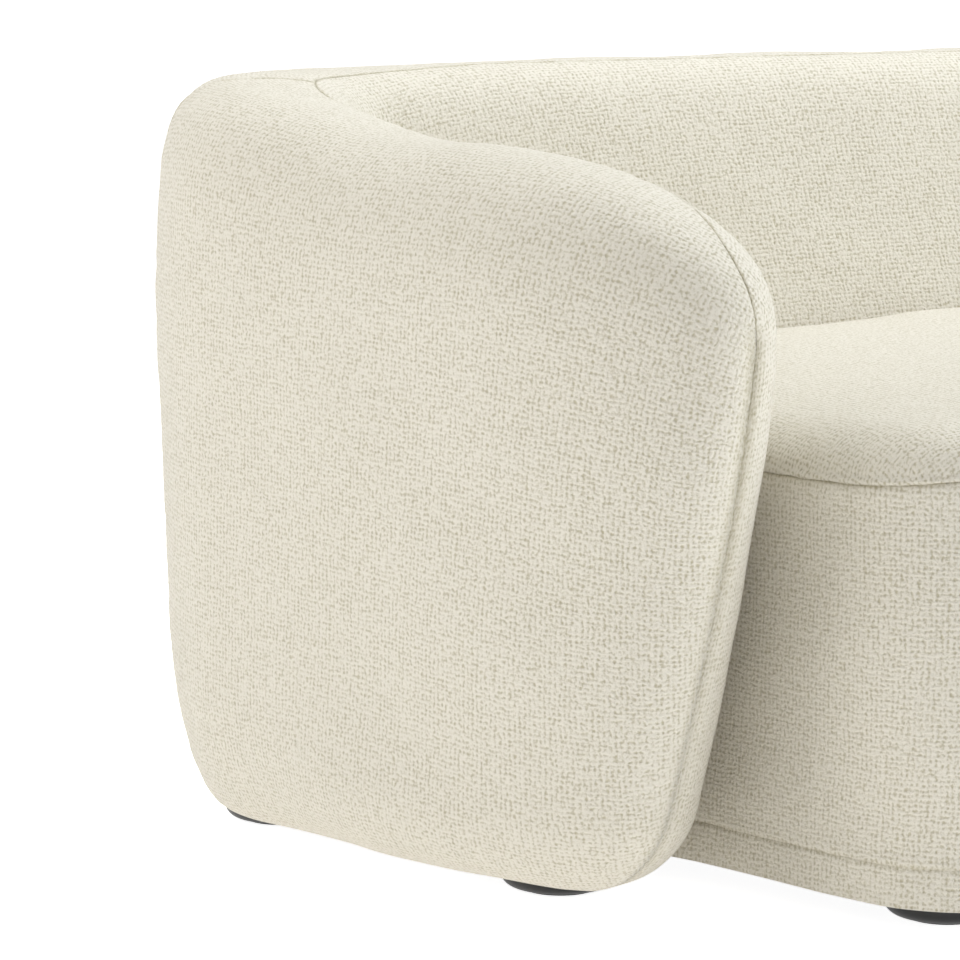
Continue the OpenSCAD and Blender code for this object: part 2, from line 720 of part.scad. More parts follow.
module base_board() {
    color(ply_colour)
        difference() {
            translate([0, 0, board_z])
                linear_extrude(height = board_t)
                    difference() {
                        polygon(board_plan);
                        for (x = [-480, -160, 160, 480])
                            for (y = [-310, 10])
                                translate([x - 100, y - 50])
                                    square([200, 200]);
                    }
            at_feet()
                translate([0, 0, board_z - 1])
                    cylinder(r = barrel_r + 0.1, h = board_t + 2, $fn = 32);
        }
}
module dust_cover() {
    color([0.12, 0.12, 0.12])
        difference() {
            translate([0, 0, foot_h])
                linear_extrude(height = board_z - foot_h)
                    polygon(board_plan);
            at_feet()
                translate([0, 0, foot_h - 1])
                    cylinder(r = bolt_r + 0.3, h = 4, $fn = 32);
        }
}

// Feet: low round discs with a well rounded lower edge, each on a bolt
glide_t = 2;
module foot(i) {
    color(black_wood)
        translate([feet[i][1], feet[i][2], 0])
            difference() {
                rotate_extrude($fn = 96)
                    polygon(concat(
                        [[0, glide_t]],
                        [for (a = [0:10:90])
                            [foot_base_r + (foot_top_r - foot_base_r) * sin(a),
                             glide_t + 14 * (1 - cos(a))]],
                        [[foot_top_r, foot_h - 1], [foot_top_r - 1, foot_h], [0, foot_h]]));
                translate([0, 0, 8])
                    cylinder(r = bolt_r + 0.05, h = foot_h, $fn = 32);
            }
}
module foot_arm_left() foot(0);
module foot_arm_right() foot(1);
module foot_seat_left() foot(2);
module foot_seat_right() foot(3);
module foot_corner_left() foot(4);
module foot_corner_right() foot(5);
module foot_back_middle() foot(6);
module foot_deck_middle() foot(7);
module foot_glides() {
    color([0.25, 0.25, 0.25])
        at_feet()
            cylinder(r = foot_base_r - 4, h = glide_t, $fn = 64);
}
module foot_bolts() {
    color(steel_colour)
        at_feet()
            translate([0, 0, 8])
                cylinder(r = bolt_r, h = wall_z - 10, $fn = 32);
}
module foot_tee_nuts() {
    color(steel_colour)
        at_feet()
            difference() {
                union() {
                    translate([0, 0, board_z + 3])
                        cylinder(r = barrel_r, h = board_t - 3, $fn = 32);
                    translate([0, 0, wall_z])
                        cylinder(r = 9, h = 1.6, $fn = 32);
                }
                translate([0, 0, board_z])
                    cylinder(r = bolt_r + 0.05, h = board_t + 4, $fn = 32);
            }
}

base_board();
dust_cover();
shell_outer_lining();
shell_inner_lining();
shell_top_rail();
shell_ribs();
arm_front_posts();
nose_foam_left();
nose_foam_right();
arm_foam_left();
arm_foam_right();
corner_foam_left();
corner_foam_right();
back_foam();
arm_outer_cover_left();
arm_outer_cover_right();
back_outer_cover();
inner_cover();
seat_wall();
seat_deck_frame();
seat_cross_beams();
seat_corner_blocks();
zigzag_springs();
spring_clips();
spring_tie_strips();
deck_felt();
seat_foam();
crown_wadding();
seat_top_cover();
border_padding();
seat_border_cover();
hem_band();
foot_arm_left();
foot_arm_right();
foot_seat_left();
foot_seat_right();
foot_corner_left();
foot_corner_right();
foot_back_middle();
foot_deck_middle();
foot_glides();
foot_bolts();
foot_tee_nuts();
frame_screws();
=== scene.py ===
import math

import bpy
import numpy as np
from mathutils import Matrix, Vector


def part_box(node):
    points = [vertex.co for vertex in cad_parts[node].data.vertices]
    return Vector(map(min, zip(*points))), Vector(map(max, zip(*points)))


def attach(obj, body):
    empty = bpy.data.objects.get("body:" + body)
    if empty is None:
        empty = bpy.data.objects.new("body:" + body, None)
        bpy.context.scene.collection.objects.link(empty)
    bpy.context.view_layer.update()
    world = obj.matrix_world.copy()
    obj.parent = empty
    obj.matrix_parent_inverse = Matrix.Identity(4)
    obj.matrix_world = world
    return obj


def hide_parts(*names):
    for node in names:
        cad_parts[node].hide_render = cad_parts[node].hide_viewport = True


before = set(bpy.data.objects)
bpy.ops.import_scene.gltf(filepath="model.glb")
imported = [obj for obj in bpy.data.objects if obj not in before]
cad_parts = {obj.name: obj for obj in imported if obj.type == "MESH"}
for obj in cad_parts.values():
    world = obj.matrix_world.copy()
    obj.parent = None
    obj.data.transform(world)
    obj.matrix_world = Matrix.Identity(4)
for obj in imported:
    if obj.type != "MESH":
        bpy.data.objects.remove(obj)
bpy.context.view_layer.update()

# ------------------------------------------------------------------ shape of the sofa, in mm
SOFA_W, SOFA_D = 2310.0, 1004.0
BACK_H, ARM_H, CORNER_H = 765.0, 688.0, 761.5
NOSE_HALF, ARM_HALF, BACK_HALF = 99.0, 110.0, 90.0
NOSE_RAKE, LUMBAR, ARM_SWELL = 108.0, 80.0, 48.0
SEAM_Z, SEAM_RISE, CROWN_Z, CORNER_R = 412.0, 20.0, 503.0, 126.0
FOOT_H, WALL_Z, HEM_Z = 28.0, 47.0, 67.0
ARM_HEAD, ARM_END_HEAD, BACK_HEAD = 112.0, 100.8, 2.0
ARM_LEN, CORNER_BEND = 624.0, 179.0
ARM_SHOULDER, BACK_SHOULDER = 554.0, 636.0
OUTER_NOSE, INNER_NOSE, RIM_SHARE = 244.0, 160.0, 0.6
INNER_ADD, SWELL_NEAR, SWELL_TOP, SWELL_SPAN = -6.5, 0.48, 631.0, 186.0
RAKE_POWER, CORNER_LEAN, CORNER_ROUND, ARM_ROUND = 1.37, 10.8, 3.1, 2.5
ARM_TUCK, ARM_DEEP, FRONT_ROLL = 112.0, 68.0, 1.08
LEAN_FROM, LEAN_SPAN = 504.0, 208.0
HALF_W = SOFA_W / 2
TURN = 180 / math.pi


def sind(a):
    return np.sin(np.radians(a))


def cosd(a):
    return np.cos(np.radians(a))


def step_x(h, k, s):
    """x travelled along an arc of heading h and bend k (degrees, degrees per mm) after s mm."""
    return (sind(h + k * s) - sind(h)) / k * TURN


def step_y(h, k, s):
    """y travelled along the same arc."""
    return (cosd(h) - cosd(h + k * s)) / k * TURN


K_ARM = (ARM_END_HEAD - ARM_HEAD) / ARM_LEN
K_CORNER = -TURN / CORNER_BEND
CORNER_LEN = CORNER_BEND * (ARM_END_HEAD - BACK_HEAD) / TURN
NOSE_INSET = 292.0
TIP_X = -HALF_W + NOSE_INSET
ARM_DX, ARM_DY = step_x(ARM_HEAD, K_ARM, ARM_LEN), step_y(ARM_HEAD, K_ARM, ARM_LEN)
CORNER_DX = step_x(ARM_END_HEAD, K_CORNER, CORNER_LEN)
CORNER_DY = step_y(ARM_END_HEAD, K_CORNER, CORNER_LEN)
BACK_X = TIP_X + ARM_DX + CORNER_DX
BACK_R = -BACK_X / sind(BACK_HEAD)
K_BACK = -TURN / BACK_R
BACK_LEN = BACK_R * BACK_HEAD / TURN
HALF_LEN = ARM_LEN + CORNER_LEN + BACK_LEN
TIP_Y = SOFA_D / 2 - BACK_HALF - ARM_DY - CORNER_DY - step_y(BACK_HEAD, K_BACK, BACK_LEN)


def clip(t, a=0.0, b=1.0):
    return np.minimum(b, np.maximum(a, t))


def smooth(t):
    u = clip(t)
    return u * u * (3 - 2 * u)


def line_at(s):
    """Point and heading of the plan line of the left half: arm, rear corner, back."""
    s = np.asarray(s, float)
    c, b = s - ARM_LEN, s - ARM_LEN - CORNER_LEN
    x = np.where(s < ARM_LEN, TIP_X + step_x(ARM_HEAD, K_ARM, s),
        np.where(b < 0, TIP_X + ARM_DX + step_x(ARM_END_HEAD, K_CORNER, c),
                 BACK_X + step_x(BACK_HEAD, K_BACK, b)))
    y = np.where(s < ARM_LEN, TIP_Y + step_y(ARM_HEAD, K_ARM, s),
        np.where(b < 0, TIP_Y + ARM_DY + step_y(ARM_END_HEAD, K_CORNER, c),
                 TIP_Y + ARM_DY + CORNER_DY + step_y(BACK_HEAD, K_BACK, b)))
    h = np.where(s < ARM_LEN, ARM_HEAD + K_ARM * s,
        np.where(b < 0, ARM_END_HEAD + K_CORNER * c, BACK_HEAD + K_BACK * b))
    return x, y, h


def beside(s, n):
    """Plan point n mm to the outside of the plan line."""
    x, y, h = line_at(s)
    return x - sind(h) * n, y + cosd(h) * n


def corner_share(s):
    return smooth((s - ARM_LEN + 250) / (250 + CORNER_LEN / 2))


def back_share(s):
    return smooth((s - ARM_LEN - CORNER_LEN / 2) / (CORNER_LEN / 2 + 200))


def blend(s, arm, corner, back):
    """A value that passes from the arm's to the corner's to the back's along the plan line."""
    return arm + (corner - arm) * corner_share(s) + (back - corner) * back_share(s)


def crest(s):
    """Height of the top edge."""
    return blend(s, ARM_H + 26 * smooth(s / (0.6 * ARM_LEN)), CORNER_H, BACK_H)


def half_at(s, outside):
    """Half thickness of the shell, to its outside or its inside."""
    grow = (ARM_HALF - NOSE_HALF) * smooth(s / (0.5 * ARM_LEN))
    return blend(s, NOSE_HALF + np.where(outside, 0, INNER_ADD) + grow, ARM_HALF, BACK_HALF)


def shoulder(s):
    return blend(s, ARM_SHOULDER, BACK_SHOULDER, BACK_SHOULDER)


def roundness(s):
    return blend(s, ARM_ROUND, CORNER_ROUND, 2.7)


def nose_fill(s, length, d):
    """Share of the full thickness that the rounded nose has reached."""
    t = clip(1 - (s - d) / (length - d))
    return np.maximum(0, 1 - t ** 2.2) ** (1 / 2.2)


def eased_ramp(u, w=0.22):
    """max(0, u) with its corner rounded over w to either side; never below max(0, u)."""
    return np.where(np.abs(u) < w, (u + w) ** 2 / (4 * w), np.maximum(0, u))


def swell(s, z):
    """How far the padding of the arm or the back stands inwards at height z."""
    arm = ARM_SWELL * smooth((SWELL_TOP - z) / SWELL_SPAN)
    return blend(s, arm * (SWELL_NEAR + (1 - SWELL_NEAR) * smooth(s / 300)), arm,
                 LUMBAR * clip(eased_ramp((crest(s) - 60 - z) / (crest(s) - 540))))


def tuck(s, z):
    """How far the section draws in towards the floor."""
    top, deep = blend(s, ARM_TUCK, 221, 150), blend(s, ARM_DEEP, 47, 30)
    u = clip((top - z) / (top - FOOT_H))
    return (blend(s, 0.024, 0.036, 0.02) * (shoulder(s) - z)
            + deep * (1 - np.sqrt(np.maximum(0, 1 - u * u))))


def left_point(along, phi, d=0.0):
    """Point of the left half at distance along, at phi round the section: 0 outside low, 0.5 crest,
    1 inside low. d is the depth under the surface."""
    s = along + d * np.maximum(0, 1 - along / OUTER_NOSE)
    outside = phi <= 0.5
    g = 2 * np.where(outside, phi, 1 - phi)
    side = g < RIM_SHARE
    a = clip((g - RIM_SHARE) / (1 - RIM_SHARE) * 90, 0, 90)
    low = np.where(outside, FOOT_H, FOOT_H + (WALL_Z - FOOT_H + 0.5) * smooth((s - 70) / 60))
    sh, p = shoulder(s), roundness(s)
    rim = sh + (crest(s) - d - sh) * nose_fill(s, OUTER_NOSE, d) * np.maximum(0, sind(a)) ** (2 / p)
    z = np.where(side, low + (sh - low) * clip(g / RIM_SHARE) ** 1.2, rim)
    lean = np.where(outside, blend(s, 0, CORNER_LEAN, 0) * smooth((z - LEAN_FROM) / LEAN_SPAN), 0)
    across = half_at(s, outside) - lean - d
    fill = np.where(outside, nose_fill(s, OUTER_NOSE, d), nose_fill(s, INNER_NOSE, d))
    wide = np.where(side, 1, np.maximum(0, cosd(a)) ** (2 / p))
    roll = np.where(side, tuck(s, z), 0)
    n = np.where(outside, across * wide - roll, -(across * wide - 0.19 * roll + swell(s, z)))
    back = ((NOSE_RAKE * np.maximum(0, (ARM_SHOULDER - z) / (ARM_SHOULDER - FOOT_H)) ** RAKE_POWER
             + FRONT_ROLL * roll) * np.maximum(0, 1 - s / ARM_LEN) ** 1.2)
    x, y = beside(s + back, n * fill)
    return np.stack(np.broadcast_arrays(x, y, z), -1)


def shell_point(s, phi, d=0.0):
    """Both halves of the shell: s runs on past the middle of the back to the right arm."""
    left = s <= HALF_LEN
    p = left_point(np.where(left, s, 2 * HALF_LEN - s), phi, d)
    p[..., 0] = np.where(left, p[..., 0], -p[..., 0])
    return p


def seam_phi(s):
    """Where the top seam runs round the section: a little to the inside of the crest."""
    t = np.minimum(s, 2 * HALF_LEN - s)
    inward = 0.045 * smooth(t / 150) * (1 - 0.5 * smooth((t - ARM_LEN - CORNER_LEN + 60) / 220))
    return 0.5 + inward


# ------------------------------------------------------------------ small helpers
SEED = 7
FAR = 1e3           # distance given to points of an edge that isn't sewn, mm
GRID_STEP = 8.0     # spacing of the cloth grids away from the seams, mm
EDGE_STEPS = np.array([0, 0.8, 1.6, 2.6, 3.8, 5.2, 7, 9, 12, 16])
EDGE_REACH = EDGE_STEPS[-1]
CLOTH_THICKNESS = 2.6
FREE_FROM = 40.0    # distance from a seam, mm


def waves(p, length, seed, n=7):
    """Smooth value about -1..1 at the points p (mm), made of a few fixed sine waves."""
    r = np.random.default_rng(SEED * 1000 + seed)
    total = np.zeros(p.shape[:-1])
    for _ in range(n):
        k = r.normal(size=3)
        k *= 2 * math.pi / (length * r.uniform(0.75, 1.5)) / np.linalg.norm(k)
        total += np.sin(p @ k + r.uniform(0, 6.28))
    return total / math.sqrt(n)


def normals(p):
    """Unit normals of a grid of points."""
    a, b = np.gradient(p, axis=0), np.gradient(p, axis=1)
    n = np.cross(a, b)
    return n / np.maximum(np.linalg.norm(n, axis=-1, keepdims=True), 1e-9)


def run_length(p, axis):
    """Distance walked along the grid's rows or columns."""
    d = np.linalg.norm(np.diff(p, axis=axis), axis=-1)
    pad = [(0, 0), (0, 0)]
    pad[axis] = (1, 0)
    return np.pad(np.cumsum(d, axis=axis), pad)


def near_edge(total, both=(True, True)):
    """Distances from 0 to total that crowd towards the ends named in both."""
    a = EDGE_STEPS if both[0] else np.array([0.0])
    b = total - EDGE_STEPS[::-1] if both[1] else np.array([total])
    n = max(2, int(round((b[0] - a[-1]) / GRID_STEP)))
    return np.concatenate([a, np.linspace(a[-1], b[0], n + 1)[1:-1], b])


def seam_profile(d, depth=1.2, reach=2.6):
    """Inward dip beside a seam at distance d from it, with a soft rise next to it."""
    return (-depth * np.clip(1 - d / reach, 0, 1) ** 1.7
            + 0.2 * np.exp(-((d - 8) / 6.0) ** 2))


def free(dist):
    """0 at a seam, 1 from FREE_FROM on, where the cloth can swell."""
    return np.clip(dist / FREE_FROM, 0, 1)


def painted_seam_shade(dist, width=1.7):
    """1 at a seam, fading over width mm: how strongly painted shade darkens the cloth in the seam's
    crease.
    """
    return np.exp(-(dist / width) ** 2)


def run_along(p):
    """Distance walked along a line of points, always growing so that it can be looked up."""
    run = np.r_[0, np.cumsum(np.linalg.norm(np.diff(p, axis=0), axis=1))]
    return run + np.linspace(0, 1e-6, run.size)


def add_object(name, data):
    o = bpy.data.objects.new(name, data)
    bpy.context.scene.collection.objects.link(o)
    return o


def thicken(o):
    """Gives a panel the thickness of its cloth, inwards."""
    m = o.modifiers.new("thickness", "SOLIDIFY")
    m.thickness = CLOTH_THICKNESS / 1000.0
    m.offset = -1
    m.use_rim = True


def grid_faces(idx):
    """The four corner numbers of each face of a grid of point numbers."""
    return np.stack([idx[:-1, :-1], idx[1:, :-1], idx[1:, 1:], idx[:-1, 1:]], -1).reshape(-1, 4)


def lay_flat(o, across):
    """Lays the panel out flat, as the cloth was cut, at true size: the weave follows that layout.
    across names the direction in space that the weave's rows follow."""
    bpy.context.view_layer.objects.active = o
    for x in bpy.context.selected_objects:
        x.select_set(False)
    o.select_set(True)
    bpy.ops.object.mode_set(mode="EDIT")
    bpy.ops.mesh.select_all(action="SELECT")
    bpy.ops.uv.unwrap(method="MINIMUM_STRETCH", fill_holes=False, correct_aspect=False,
                      margin=0.0, iterations=4)
    bpy.ops.object.mode_set(mode="OBJECT")
    mesh = o.data
    n = len(mesh.loops)
    uv = np.zeros(n * 2, np.float32)
    mesh.uv_layers["weave"].data.foreach_get("uv", uv)
    uv = uv.reshape(-1, 2).astype(float)
    li = np.zeros(n, np.int32)
    mesh.loops.foreach_get("vertex_index", li)
    co = np.zeros(len(mesh.vertices) * 3, np.float32)
    mesh.vertices.foreach_get("co", co)
    x = co.reshape(-1, 3).astype(float)[li].reshape(-1, 4, 3)
    q = uv.reshape(-1, 4, 2)
    cross = (q[:, 2, 0] - q[:, 0, 0]) * (q[:, 3, 1] - q[:, 1, 1]) - (
        q[:, 2, 1] - q[:, 0, 1]) * (q[:, 3, 0] - q[:, 1, 0])
    flat_area = np.abs(cross).sum() / 2
    real_area = np.linalg.norm(np.cross(x[:, 2] - x[:, 0], x[:, 3] - x[:, 1]), axis=1).sum() / 2
    uv *= math.sqrt(real_area / flat_area)
    q = uv.reshape(-1, 4, 2)
    # turn the layout so that moving along `across` in space moves along +u
    d = np.array(across, float)
    e1, e2 = x[:, 2] - x[:, 0], x[:, 3] - x[:, 1]
    f1, f2 = q[:, 2] - q[:, 0], q[:, 3] - q[:, 1]
    turn = (f1 * (e1 @ d)[:, None] + f2 * (e2 @ d)[:, None]).sum(0)
    a = -math.atan2(turn[1], turn[0])
    c, sn = math.cos(a), math.sin(a)
    uv = uv @ np.array([[c, sn], [-sn, c]])
    q = uv.reshape(-1, 4, 2)
    up = ((q[:, 2] - q[:, 0]) * e1[:, 2:3] + (q[:, 3] - q[:, 1]) * e2[:, 2:3]).sum(0)
    if up[1] < 0:
        uv[:, 1] *= -1
    mesh.uv_layers["weave"].data.foreach_set("uv", uv.astype(np.float32).ravel())


def grid_mesh(name, p, uv, seam_shade, material, flip=False):
    """A cloth panel from a grid of points in mm, with its weave coordinates and the painted shade of
    its seams.
    """
    rows, cols = p.shape[:2]
    q = grid_faces(np.arange(rows * cols).reshape(rows, cols))
    if flip:
        q = q[:, ::-1]
    v = p.reshape(-1, 3) / 1000.0
    e = v[q]
    size = np.linalg.norm(np.cross(e[:, 2] - e[:, 0], e[:, 3] - e[:, 1]), axis=1)
    q = q[size > 1e-10]  # no faces where a row is pinched to a point
    mesh = bpy.data.meshes.new(name)
    mesh.vertices.add(len(v))
    mesh.vertices.foreach_set("co", v.astype(np.float32).ravel())
    mesh.loops.add(q.size)
    mesh.loops.foreach_set("vertex_index", q.astype(np.int32).ravel())
    mesh.polygons.add(len(q))
    mesh.polygons.foreach_set("loop_start", np.arange(0, q.size, 4, dtype=np.int32))
    mesh.polygons.foreach_set("loop_total", np.full(len(q), 4, np.int32))
    layer = mesh.uv_layers.new(name="weave")
    layer.data.foreach_set("uv", (uv.reshape(-1, 2)[q.ravel()] / 1000.0).astype(np.float32).ravel())
    # the seam attribute carries the painted shade of the seam creases
    tone = mesh.attributes.new("seam", "FLOAT", "POINT")
    tone.data.foreach_set("value", seam_shade.reshape(-1).astype(np.float32))
    mesh.polygons.foreach_set("use_smooth", np.ones(len(q), bool))
    mesh.update(calc_edges=True)
    mesh.validate()
    mesh.materials.append(material)
    o = add_object(name, mesh)
    thicken(o)
    return o


# ------------------------------------------------------------------ materials
def feed(tree, value, socket):
    """Gives a socket a fixed value, or a link when the value comes from another node."""
    if isinstance(value, (int, float, tuple)):
        socket.default_value = value
    elif value is not None:
        tree.links.new(value, socket)


def math_node(tree, op, a, b=None, c=None, clamp=False):
    n = tree.nodes.new("ShaderNodeMath")
    n.operation = op
    n.use_clamp = clamp
    for i, v in enumerate((a, b, c)):
        feed(tree, v, n.inputs[i])
    return n.outputs[0]


def vec_node(tree, op, a, b):
    n = tree.nodes.new("ShaderNodeVectorMath")
    n.operation = op
    feed(tree, a, n.inputs[0])
    feed(tree, b, n.inputs[1])
    return n.outputs[0]


def noise(tree, coords, scale, detail=2.0, rough=0.5, colour=False):
    n = tree.nodes.new("ShaderNodeTexNoise")
    tree.links.new(coords, n.inputs["Vector"])
    n.inputs["Scale"].default_value = scale
    n.inputs["Detail"].default_value = detail
    n.inputs["Roughness"].default_value = rough
    return n.outputs["Color" if colour else "Fac"]


def mix(tree, fac, a, b):
    """Colour between a and b. A colour mix node has its sockets at 0, 6 and 7 and its result at 2."""
    n = tree.nodes.new("ShaderNodeMix")
    n.data_type = "RGBA"
    feed(tree, fac, n.inputs[0])
    feed(tree, a, n.inputs[6])
    feed(tree, b, n.inputs[7])
    return n.outputs[2]


def add_bump(t, b, height, strength, depth):
    bump = t.nodes.new("ShaderNodeBump")
    bump.inputs["Strength"].default_value = strength
    bump.inputs["Distance"].default_value = depth
    t.links.new(height, bump.inputs["Height"])
    t.links.new(bump.outputs[0], b.inputs["Normal"])


def shaded(colour, share):
    """A colour darkened to a share of itself, with its alpha."""
    return tuple(share * x for x in colour) + (1,)


def start(name):
    """A new material, its node tree and its surface node."""
    m = bpy.data.materials.new(name)
    m.use_nodes = True
    t = m.node_tree
    return m, t, t.nodes["Principled BSDF"]


def knot_rows(t, coords, across, along):
    """Height, -1..1, of the rows and columns of yarn knots. Coordinates are metres on the cloth."""
    warp = vec_node(t, "SUBTRACT", noise(t, coords, 26, 2, 0.5, True), (0.5, 0.5, 0.5))
    fine = vec_node(t, "SUBTRACT", noise(t, coords, 150, 1, 0.5, True), (0.5, 0.5, 0.5))
    shift = vec_node(t, "ADD", vec_node(t, "MULTIPLY", warp, (0.0050, 0.0050, 0)),
                     vec_node(t, "MULTIPLY", fine, (0.0048, 0.0048, 0)))
    sep = t.nodes.new("ShaderNodeSeparateXYZ")
    t.links.new(vec_node(t, "ADD", coords, shift), sep.inputs[0])
    cu = math_node(t, "COSINE", math_node(t, "MULTIPLY", sep.outputs[0], 2 * math.pi / across))
    cv = math_node(t, "COSINE", math_node(t, "MULTIPLY", sep.outputs[1], 2 * math.pi / along))
    return math_node(t, "MULTIPLY", math_node(t, "ADD", cu, cv), 0.5)


def boucle(name, across=0.0054, along=0.0048, depth=0.00095, light=(0.768, 0.725, 0.630),
           pit_shade_colour=(0.42, 0.37, 0.235)):
    """Looped wool cloth: rows of knots along the cloth, and lumps and fibres of even size, with
    painted shade darkening the pits between the knots and the creases along the seams.
    """
    m, t, b = start(name)
    uv = t.nodes.new("ShaderNodeUVMap")
    uv.uv_map = "weave"
    rows = knot_rows(t, uv.outputs[0], across, along)
    place = t.nodes.new("ShaderNodeTexCoord").outputs["Object"]
    lumps = noise(t, vec_node(t, "MULTIPLY", place, (1.0, 1.0, 0.85)), 355, 2, 0.55)
    fibre = noise(t, place, 760, 2, 0.6)
    patch = noise(t, place, 7, 2, 0.5)
    height = math_node(t, "MULTIPLY_ADD", rows, 0.34,
                       math_node(t, "ADD", math_node(t, "MULTIPLY", lumps, 1.45),
                                 math_node(t, "MULTIPLY", fibre, 0.85)))
    # painted shade in the pits: where the rows are low and the yarn lumps leave a gap, the colour is
    # darkened as if in shadow
    pit_shade = math_node(t, "MULTIPLY_ADD", rows, -0.50,
                    math_node(t, "MULTIPLY_ADD", lumps, -3.1, 1.70))
    ramp = t.nodes.new("ShaderNodeMapRange")
    ramp.interpolation_type = "SMOOTHSTEP"
    t.links.new(pit_shade, ramp.inputs["Value"])
    ramp.inputs["From Min"].default_value = -0.15
    ramp.inputs["From Max"].default_value = 1.05
    pit_shade = ramp.outputs["Result"]
    # painted shade along the seams: the seam attribute darkens the cloth in the crease, broken up by
    # the yarn lumps
    seam = t.nodes.new("ShaderNodeAttribute")
    seam.attribute_name = "seam"
    tone = math_node(t, "MULTIPLY_ADD", pit_shade, -0.78, 1.06)
    tone = math_node(t, "ADD", tone, math_node(t, "MULTIPLY_ADD", fibre, 0.54, -0.29))
    tone = math_node(t, "ADD", tone, math_node(t, "MULTIPLY_ADD", patch, 0.10, -0.05), clamp=True)
    crease_shade = math_node(t, "MULTIPLY_ADD", lumps, -1.8, 1.75)
    crease_shade = math_node(t, "MULTIPLY", crease_shade, seam.outputs["Fac"], clamp=True)
    tone = math_node(t, "MULTIPLY", tone, math_node(t, "MULTIPLY_ADD", crease_shade, -0.75, 1.0))
    # the yarn's cream, darkened by the painted shade of the pits and of the seams
    colour = mix(t, tone, pit_shade_colour + (1,), light + (1,))
    t.links.new(colour, b.inputs["Base Color"])
    rough = math_node(t, "MULTIPLY_ADD", fibre, 0.12, 0.84)
    t.links.new(rough, b.inputs["Roughness"])
    b.inputs["Specular IOR Level"].default_value = 0.14
    b.inputs["Sheen Weight"].default_value = 0.35
    b.inputs["Sheen Roughness"].default_value = 0.5
    b.inputs["Sheen Tint"].default_value = (1.0, 0.99, 0.96, 1)
    add_bump(t, b, height, 1.0, depth)
    return m


def lining_cloth(name, colour, weave=0.0009):
    """Thin plain-woven cloth, with threads weave metres apart."""
    m, t, b = start(name)
    pos = t.nodes.new("ShaderNodeNewGeometry").outputs["Position"]
    sep = t.nodes.new("ShaderNodeSeparateXYZ")
    t.links.new(pos, sep.inputs[0])
    wx = math_node(t, "SINE", math_node(t, "MULTIPLY", sep.outputs[0], 6.283 / weave))
    wy = math_node(t, "SINE", math_node(t, "MULTIPLY", sep.outputs[1], 6.283 / weave))
    grain = noise(t, pos, 240, 3, 0.6)
    h = math_node(t, "ADD", math_node(t, "MULTIPLY", wx, wy), math_node(t, "MULTIPLY", grain, 1.4))
    c = mix(t, grain, shaded(colour, 0.7), colour + (1,))
    t.links.new(c, b.inputs["Base Color"])
    b.inputs["Roughness"].default_value = 0.92
    b.inputs["Sheen Weight"].default_value = 0.15
    add_bump(t, b, h, 0.5, 0.0003)
    return m


def foam_material(name, colour, scale=900):
    """Foam, wadding or felt: fine dull cells."""
    m, t, b = start(name)
    pos = t.nodes.new("ShaderNodeNewGeometry").outputs["Position"]
    cells = noise(t, pos, scale, 2, 0.6)
    c = mix(t, cells, shaded(colour, 0.72), colour + (1,))
    t.links.new(c, b.inputs["Base Color"])
    b.inputs["Roughness"].default_value = 0.95
    add_bump(t, b, cells, 0.6, 0.0006)
    return m


def wood_material(name, pale, deep, ring=38, rough=0.55, gloss=0.35, squash=(1, 9, 1), coat=0.0):
    """Wood or board whose grain is fine along the axis with the large squash value."""
    m, t, b = start(name)
    pos = t.nodes.new("ShaderNodeNewGeometry").outputs["Position"]
    p = vec_node(t, "MULTIPLY", pos, squash)
    grain = noise(t, p, ring, 5, 0.62)
    pores = noise(t, vec_node(t, "MULTIPLY", pos, tuple(3 * s for s in squash)), ring * 6, 2, 0.5)
    tone = math_node(t, "MULTIPLY_ADD", pores, 0.35, math_node(t, "MULTIPLY", grain, 0.7), clamp=True)
    t.links.new(mix(t, tone, deep + (1,), pale + (1,)), b.inputs["Base Color"])
    t.links.new(math_node(t, "MULTIPLY_ADD", pores, 0.18, rough), b.inputs["Roughness"])
    b.inputs["Specular IOR Level"].default_value = gloss
    b.inputs["Coat Weight"].default_value = coat
    b.inputs["Coat Roughness"].default_value = 0.3
    add_bump(t, b, tone, 0.35, 0.0004)
    return m


def steel_material(name, colour, rough):
    m, t, b = start(name)
    pos = t.nodes.new("ShaderNodeNewGeometry").outputs["Position"]
    n = noise(t, pos, 160, 3, 0.6)
    t.links.new(mix(t, n, shaded(colour, 0.8), colour + (1,)), b.inputs["Base Color"])
    t.links.new(math_node(t, "MULTIPLY_ADD", n, 0.2, rough), b.inputs["Roughness"])
    b.inputs["Metallic"].default_value = 1.0
    return m


cloth_m = boucle("boucle_cream")
lining_m = lining_cloth("lining_black", (0.035, 0.035, 0.038))
wad_m = foam_material("wadding_white", (0.86, 0.86, 0.83), 400)
foam_m = foam_material("foam_yellow", (0.80, 0.72, 0.42))
felt_m = foam_material("felt_grey", (0.32, 0.31, 0.30), 500)
ply_m = wood_material("plywood", (0.66, 0.49, 0.29), (0.50, 0.34, 0.18))
beech_m = wood_material("beech", (0.60, 0.41, 0.22), (0.44, 0.28, 0.13), 30, squash=(1, 1, 8))
spring_m = steel_material("spring_steel", (0.32, 0.32, 0.34), 0.38)
zinc_m = steel_material("zinc_steel", (0.66, 0.67, 0.69), 0.28)
black_m = wood_material("black_wood", (0.022, 0.021, 0.020), (0.010, 0.0095, 0.009), 60, 0.34, 0.5,
                        coat=0.25)
glide_m = foam_material("glide_felt", (0.05, 0.048, 0.045), 1400)

